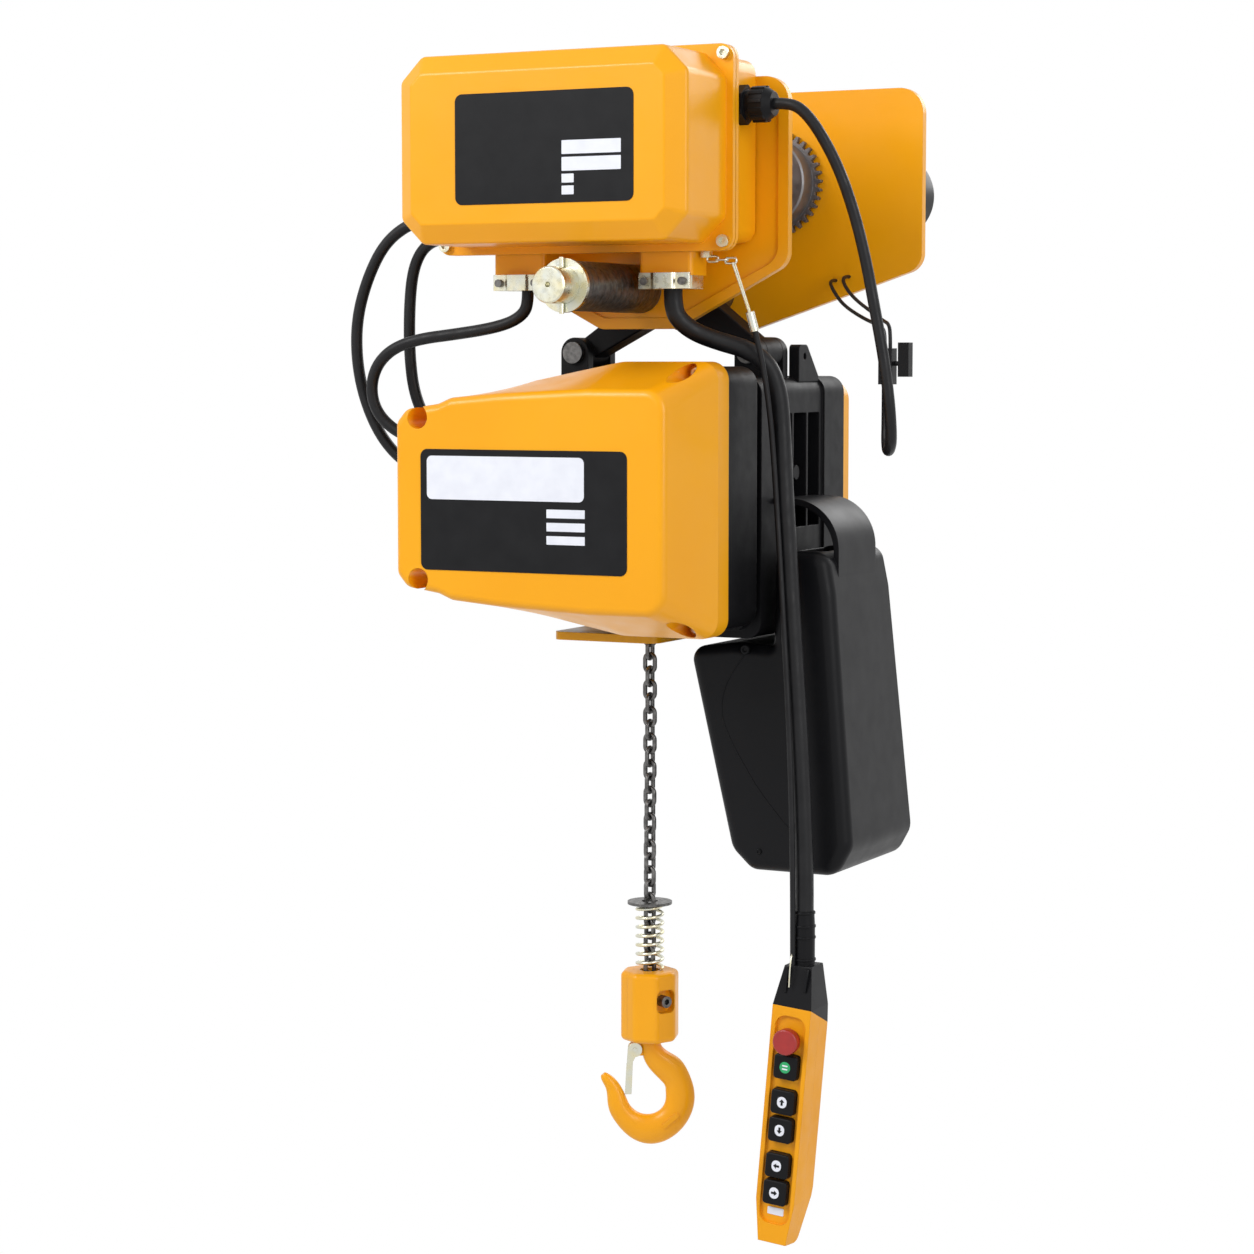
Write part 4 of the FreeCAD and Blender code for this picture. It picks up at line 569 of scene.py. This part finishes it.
def hook_boss():
    """The hook's raised oval in two steps, at the lower right of its bowl."""
    x, z = BOWL_MIDDLE
    middle = Vector((x + BOSS_REACH * math.cos(BOSS_AROUND), z + BOSS_REACH * math.sin(BOSS_AROUND)))
    lean = Matrix.Rotation(BOSS_AROUND + math.radians(90), 2)
    place = Matrix.Translation(HOOK_PLACE) @ Matrix.Rotation(HOOK_TURN, 4, "Z")
    for name, half_long, half_wide, front in BOSS_LAYERS:
        points = []
        for point in rounded_corners(half_long, half_wide, half_wide * BOSS_ROUNDNESS):
            leaned = lean @ Vector(point) + middle
            points.append((leaned.x, leaned.y))
        mesh = slab(points, front, BOSS_BACK, BOSS_EDGE)
        mesh.transform(place)
        mesh_piece(name, mesh, "yellow_paint", "hook")


# Pendant: its trim is given from the pendant's top, upright, and then leaned with it.

PENDANT_TOP = Vector((0.191, -0.090, -0.836))
PENDANT_LEAN = Matrix.Rotation(math.radians(5), 3, "Y")
BUTTON_FACE = -0.0295
# Each layer on a button: how far its front and back are from the button's face, and its edge.
INLAY = (-0.0002, 0.0004, 0.0001)
MARK = (-0.0004, -0.0001, 0.00005)
ARROW = (
    (0, 0.0036), (0.0030, 0.0002), (0.0012, 0.0002), (0.0012, -0.0034), (-0.0012, -0.0034),
    (-0.0012, 0.0002), (-0.0030, 0.0002),
)
# Each arrow button with its height and its arrow's quarter turns.
ARROW_BUTTONS = (
    ("button_up", -0.1035, 0), ("button_down", -0.1345, 2), ("button_left", -0.174, 1),
    ("button_right", -0.204, 3),
)
START_HEIGHT = -0.065
START_BAR_UP = 0.0018


def pendant_slab(name, points, front, back, edge, finish, body):
    """A slab built upright at the pendant's top and moved to its leaned place."""
    piece = mesh_piece(name, slab(points, front, back, edge), finish, body)
    turn = PENDANT_LEAN.to_4x4()
    turn.translation = PENDANT_TOP
    piece.data.transform(turn)


def on_button(name, points, layer, finish, body):
    """One of the thin layers on a button's face."""
    front, back, edge = layer
    pendant_slab(name, points, BUTTON_FACE + front, BUTTON_FACE + back, edge, finish, body)


def button_marks():
    """White inlays with an arrow on four buttons, and a green one with two bars."""
    for name, height, quarter in ARROW_BUTTONS:
        disc = shifted(rounded_corners(0.0056, 0.0062, 0.0054), 0, height)
        on_button(name + "_inlay", disc, INLAY, "plate_white", name)
        turn = Matrix.Rotation(math.radians(90 * quarter), 2)
        arrow = shifted([turn @ Vector(point) for point in ARROW], 0, height)
        on_button(name + "_arrow", arrow, MARK, "plate_black", name)
    disc = shifted(rounded_corners(0.0062, 0.0062, 0.0061), 0, START_HEIGHT)
    on_button("start_inlay", disc, INLAY, "mark_green", "button_start")
    for side in (-1, 1):
        bar = shifted(rounded_corners(0.0032, 0.0008, 0.0006, 2), 0, START_HEIGHT + side * START_BAR_UP)
        on_button("start_bar_%d" % (side + 1), bar, MARK, "plate_white", "button_start")


PLATE_HEIGHT = -0.2265
# Each clip on the boot: its place across and its low end; all end at the same height.
BOOT_CLIPS = ((-0.0105, 0.014), (0.0120, 0.018))
CLIP_TOP = 0.043
CLIP_HALF_WIDTH = 0.0017
SLEEVE_SEAT = Vector((0, -0.001, 0.044))
# Each band on the sleeve: its height over the seat and its radius.
SLEEVE_BANDS = ((0.004, 0.0126), (0.028, 0.0124), (0.040, 0.0124), (0.0545, 0.0118))
BAND_HEIGHT = 0.0028
BAND_BORE = 0.0095
HOOK_WIRE = 0.0018
WIRE_HOOK = (
    (0.187, -0.1035, -0.790), (0.1875, -0.1055, -0.781), (0.1885, -0.1100, -0.779),
    (0.1890, -0.1140, -0.786), (0.1885, -0.1155, -0.802), (0.1878, -0.1150, -0.814),
)


def sleeve_bands():
    """Raised bands round the sleeve over the boot."""
    seat = PENDANT_TOP + PENDANT_LEAN @ SLEEVE_SEAT
    for index, (up, radius) in enumerate(SLEEVE_BANDS):
        profile = (
            (BAND_BORE, 0), (radius - 0.0004, 0), (radius, 0.0005), (radius, BAND_HEIGHT - 0.0005),
            (radius - 0.0004, BAND_HEIGHT), (BAND_BORE, BAND_HEIGHT),
        )
        place = Matrix.Translation(seat + Vector((0, 0, up)))
        lathe("sleeve_band_%d" % index, profile, place, "black_plastic", "trolley")


def pendant_trim():
    """A small plate under the buttons, clips on the boot, the bands of its sleeve and the wire's hook."""
    plate = shifted(rounded_corners(0.0095, 0.0041, 0.001, 2), 0, PLATE_HEIGHT)
    pendant_slab("pendant_plate", plate, -0.0212, -0.0200, 0.0003, "plate_white", "trolley")
    for index, (across, low) in enumerate(BOOT_CLIPS):
        clip = rounded_corners(CLIP_HALF_WIDTH, (CLIP_TOP - low) / 2, 0.001, 2)
        clip = shifted(clip, across, (CLIP_TOP + low) / 2)
        pendant_slab("boot_clip_%d" % index, clip, -0.0232, -0.0150, 0.0006, "black_plastic", "trolley")
    sleeve_bands()
    wire("wire_hook", HOOK_WIRE, WIRE_HOOK, "zinc", "trolley")


# Cords: each has its diameter, its length, what its far end goes to, and the points that it follows.

CORDS = {
    "pendant_cable": (0.020, 0.726, "tool", (
        (0.066, -0.150, -0.072), (0.066, -0.150, -0.089), (0.070, -0.147, -0.103), (0.084, -0.136, -0.117),
        (0.107, -0.121, -0.127), (0.134, -0.109, -0.135), (0.154, -0.099, -0.151), (0.163, -0.0925, -0.181),
        (0.1655, -0.0905, -0.222), (0.168, -0.090, -0.276), (0.172, -0.090, -0.336),
        (0.1765, -0.090, -0.402), (0.1815, -0.090, -0.470), (0.1865, -0.090, -0.540),
        (0.1905, -0.090, -0.606), (0.1934, -0.0904, -0.664), (0.19483, -0.091, -0.706),
        (0.19483, -0.091, -0.73416),
    )),
    "link_cable_front": (0.013, 0.358, "object", (
        (-0.109, -0.150, -0.072), (-0.109, -0.150, -0.086), (-0.115, -0.150, -0.097),
        (-0.131, -0.150, -0.106), (-0.158, -0.150, -0.1125), (-0.200, -0.150, -0.118),
        (-0.246, -0.150, -0.123), (-0.280, -0.150, -0.133), (-0.302, -0.1495, -0.152),
        (-0.310, -0.149, -0.178), (-0.304, -0.1475, -0.203), (-0.286, -0.144, -0.222),
        (-0.264, -0.1406, -0.232), (-0.246, -0.140, -0.234), (-0.232, -0.140, -0.234),
    )),
    "link_cable_long": (0.013, 0.408, "object", (
        (-0.219, -0.132, 0.010), (-0.240, -0.132, 0.010), (-0.272, -0.132, 0.003), (-0.302, -0.132, -0.018),
        (-0.324, -0.132, -0.056), (-0.338, -0.132, -0.100), (-0.339, -0.1315, -0.146),
        (-0.330, -0.130, -0.190), (-0.312, -0.127, -0.230), (-0.288, -0.1215, -0.258),
        (-0.260, -0.118, -0.270), (-0.232, -0.118, -0.270),
    )),
    "link_cable_short": (0.013, 0.283, "object", (
        (-0.219, -0.116, -0.012), (-0.236, -0.116, -0.012), (-0.254, -0.1156, -0.017),
        (-0.268, -0.1146, -0.031), (-0.277, -0.1134, -0.054), (-0.281, -0.1126, -0.092),
        (-0.2815, -0.112, -0.138), (-0.278, -0.1096, -0.180), (-0.268, -0.104, -0.210),
        (-0.254, -0.0986, -0.227), (-0.242, -0.098, -0.232), (-0.232, -0.098, -0.232),
    )),
    "supply_cable": (0.012, 0.506, "connector", (
        (0.178, -0.140, 0.118), (0.194, -0.140, 0.118), (0.209, -0.139, 0.111), (0.226, -0.1364, 0.090),
        (0.246, -0.131, 0.052), (0.262, -0.127, 0.006), (0.274, -0.124, -0.042), (0.283, -0.121, -0.092),
        (0.292, -0.1186, -0.140), (0.297, -0.115, -0.182), (0.297, -0.108, -0.212), (0.292, -0.094, -0.234),
        (0.281, -0.075, -0.243), (0.272, -0.058, -0.236), (0.270, -0.052, -0.212), (0.270, -0.052, -0.172),
    )),
    "strain_wire": (0.006, 0.679, "object", (
        (0.150, -0.126, -0.116), (0.1536, -0.1224, -0.134), (0.1576, -0.117, -0.164),
        (0.161, -0.111, -0.204), (0.163, -0.106, -0.248), (0.166, -0.104, -0.300), (0.171, -0.104, -0.372),
        (0.176, -0.104, -0.450), (0.181, -0.104, -0.530), (0.1845, -0.104, -0.610),
        (0.1865, -0.104, -0.690), (0.187, -0.104, -0.750), (0.187, -0.1035, -0.79217),
    )),
    "lead_one": (0.004, 0.215, "object", (
        (0.150, 0.090, -0.058), (0.150, 0.072, -0.058), (0.160, 0.056, -0.068), (0.182, 0.034, -0.086),
        (0.216, 0.004, -0.100), (0.246, -0.028, -0.108), (0.262, -0.046, -0.112), (0.267, -0.052, -0.120),
        (0.267, -0.052, -0.134),
    )),
    "lead_two": (0.004, 0.212, "object", (
        (0.166, 0.090, -0.054), (0.166, 0.072, -0.054), (0.174, 0.056, -0.064), (0.196, 0.034, -0.080),
        (0.228, 0.006, -0.095), (0.254, -0.024, -0.105), (0.268, -0.045, -0.108), (0.273, -0.052, -0.117),
        (0.273, -0.052, -0.134),
    )),
}


# Heights between which a link cable passes from the trolley's motion to the hoist's.
LINK_SPANS = {
    "link_cable_front": (-0.09, -0.22),
    "link_cable_long": (-0.03, -0.25),
    "link_cable_short": (-0.04, -0.215),
}


def route_curve(name, points, diameter=0):
    """A curve along a NURBS spline with the route's points as its control points."""
    return round_line(name, "NURBS", diameter, points, 5, 10)


def as_mesh(curve, name):
    """The curve as a mesh of its own; the curve is taken out of the scene."""
    mesh = bpy.data.meshes.new_from_object(curve)
    mesh.name = name
    bpy.data.objects.remove(curve)
    return mesh


def smooth_mesh_piece(name, mesh, finish):
    """An object from a curve's mesh, smooth all over, with its finish."""
    smooth_faces(mesh)
    piece = link_in(name, mesh)
    dress(piece, finish)
    return piece


def cord_piece(name, diameter, points):
    """A round cord that keeps still with the trolley."""
    piece = route_curve(name, points, diameter)
    dress(piece, "cable_jacket")
    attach(piece, "trolley")
    return piece


def link_piece(name, diameter, points):
    """A round cord between the trolley and the swinging hoist, as a fixed mesh of its own on no body."""
    mesh = as_mesh(route_curve(name + "_tube", points, diameter), name)
    piece = smooth_mesh_piece(name, mesh, "cable_jacket")
    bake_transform(piece)
    return piece


def cords():
    """All free cords, each as a tube along its points."""
    for name, (diameter, length, far_end, points) in CORDS.items():
        if name in LINK_SPANS:
            bare = as_mesh(route_curve(name + "_route", points), name + "_route")
            piece = link_piece(name + "_line", diameter, points)
        else:
            piece = cord_piece(name + "_line", diameter, points)
        if name == "lead_one":
            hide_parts("connector_leads")
        elif not name.startswith("lead"):
            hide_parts(name)


# The limit spring, which the washer pushes together

SPRING_FOOT = (-0.018, -0.036, -0.828)
SPRING_LENGTH = 0.075
SPRING_RADIUS = 0.0145
SPRING_WIRE = 0.0036
SPRING_TURNS = 7
SPRING_GAP = 0.0001
POINTS_PER_TURN = 28


def limit_coil():
    """The open coil under the limit washer; the real one shortens as the washer comes down, this one is a
    fixed mesh.
    """
    x, y, z = SPRING_FOOT
    low = z + SPRING_WIRE / 2 + SPRING_GAP
    rise = SPRING_LENGTH - SPRING_WIRE - SPRING_GAP * 2
    count = SPRING_TURNS * POINTS_PER_TURN
    points = []
    for number in range(count + 1):
        turn = 2 * math.pi * number / POINTS_PER_TURN
        across = (x + SPRING_RADIUS * math.cos(turn), y + SPRING_RADIUS * math.sin(turn))
        points.append((*across, low + rise * number / count))
    curve = round_line("limit_coil_line", "POLY", SPRING_WIRE, points, 4, 12)
    piece = smooth_mesh_piece("limit_coil", as_mesh(curve, "limit_coil"), "zinc")
    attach(piece, "hook_block")
    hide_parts("limit_spring")
    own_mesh(piece)


# Surroundings

FLOOR_HEIGHT = -2.0
FLOOR_SIZE = 60
SHADE_REACH = 1.3
WHITE_REACH = 2.6
SHADE_SHARE = 0.8


def white_for_camera(nodes, links, shader, share=None):
    """Blend a shader with plain white for camera, glossy and transmission rays, or with a share of it."""
    path = nodes.new("ShaderNodeLightPath")
    most = path.outputs["Is Camera Ray"]
    for ray in ("Is Glossy Ray", "Is Transmission Ray"):
        both = nodes.new("ShaderNodeMath")
        both.operation = "MAXIMUM"
        links.new(most, both.inputs[0])
        links.new(path.outputs[ray], both.inputs[1])
        most = both.outputs[0]
    if share:
        scaled = nodes.new("ShaderNodeMath")
        scaled.operation = "MULTIPLY"
        links.new(share, scaled.inputs[1])
        links.new(most, scaled.inputs[0])
        most = scaled.outputs[0]
    mix = nodes.new("ShaderNodeMixShader")
    links.new(most, mix.inputs[0])
    links.new(shader, mix.inputs[1])
    return mix


def add_floor():
    """A wide pale floor well below the hanging object; it keeps a faint shadow."""
    mesh = bmesh.new()
    bmesh.ops.create_grid(mesh, x_segments=1, y_segments=1, size=FLOOR_SIZE)
    data = bpy.data.meshes.new("floor")
    mesh.to_mesh(data)
    mesh.free()
    floor = link_in("floor", data)
    floor.location.z = FLOOR_HEIGHT
    material = bpy.data.materials.new("floor")
    material.use_nodes = True
    nodes = material.node_tree.nodes
    links = material.node_tree.links
    surface = nodes["Principled BSDF"]
    surface.inputs["Base Color"].default_value = (0.90, 0.90, 0.90, 1)
    surface.inputs["Roughness"].default_value = 0.8
    place = nodes.new("ShaderNodeTexCoord")
    away = nodes.new("ShaderNodeVectorMath")
    away.operation = "LENGTH"
    links.new(place.outputs["Object"], away.inputs[0])
    share = nodes.new("ShaderNodeMapRange")
    share.inputs["From Min"].default_value = SHADE_REACH
    share.inputs["From Max"].default_value = WHITE_REACH
    share.inputs["To Min"].default_value = SHADE_SHARE
    share.inputs["To Max"].default_value = 1.0
    links.new(away.outputs["Value"], share.inputs["Value"])
    mix = white_for_camera(nodes, links, surface.outputs["BSDF"], share.outputs["Result"])
    glow = nodes.new("ShaderNodeEmission")
    glow.inputs["Color"].default_value = (1, 1, 1, 1)
    links.new(glow.outputs[0], mix.inputs[2])
    links.new(mix.outputs[0], nodes["Material Output"].inputs["Surface"])
    data.materials.append(material)


def add_world():
    """Soft grey surround that the camera and reflections see as white."""
    world = bpy.data.worlds.new("world")
    bpy.context.scene.world = world
    world.use_nodes = True
    nodes = world.node_tree.nodes
    links = world.node_tree.links
    soft = nodes["Background"]
    soft.inputs["Color"].default_value = (0.92, 0.95, 1.0, 1)
    soft.inputs["Strength"].default_value = 0.45
    white = nodes.new("ShaderNodeBackground")
    white.inputs["Color"].default_value = (1, 1, 1, 1)
    white.inputs["Strength"].default_value = 1.0
    mix = white_for_camera(nodes, links, soft.outputs[0])
    links.new(white.outputs[0], mix.inputs[2])
    links.new(mix.outputs[0], nodes["World Output"].inputs["Surface"])


def lamp(name, at, aim, size, power):
    """A large soft area lamp turned towards a point."""
    data = bpy.data.lights.new(name, "AREA")
    data.shape = "RECTANGLE"
    data.size, data.size_y = size
    data.energy = power
    lamp_object = link_in(name, data)
    lamp_object.location = at
    direction = Vector(aim) - Vector(at)
    lamp_object.rotation_euler = direction.to_track_quat("-Z", "Y").to_euler()


def add_lights():
    """A key from the upper left front, a fill from the right, and a strip behind."""
    lamp("key", (-1.6, -2.6, 1.6), (0, -0.1, -0.4), (1.6, 1.6), 75)
    lamp("fill", (2.6, -1.4, 0.6), (0, 0, -0.5), (1.2, 2.2), 34)
    lamp("back", (0.8, 2.6, 1.2), (0, 0, -0.4), (1.6, 1.6), 30)


add_camera()
dress_nodes()
cords()
limit_coil()
box_plate()
hoist_plate()
bag_trim()
hook_boss()
button_marks()
pendant_trim()
add_floor()
add_world()
add_lights()
bpy.context.scene.view_settings.view_transform = "Standard"
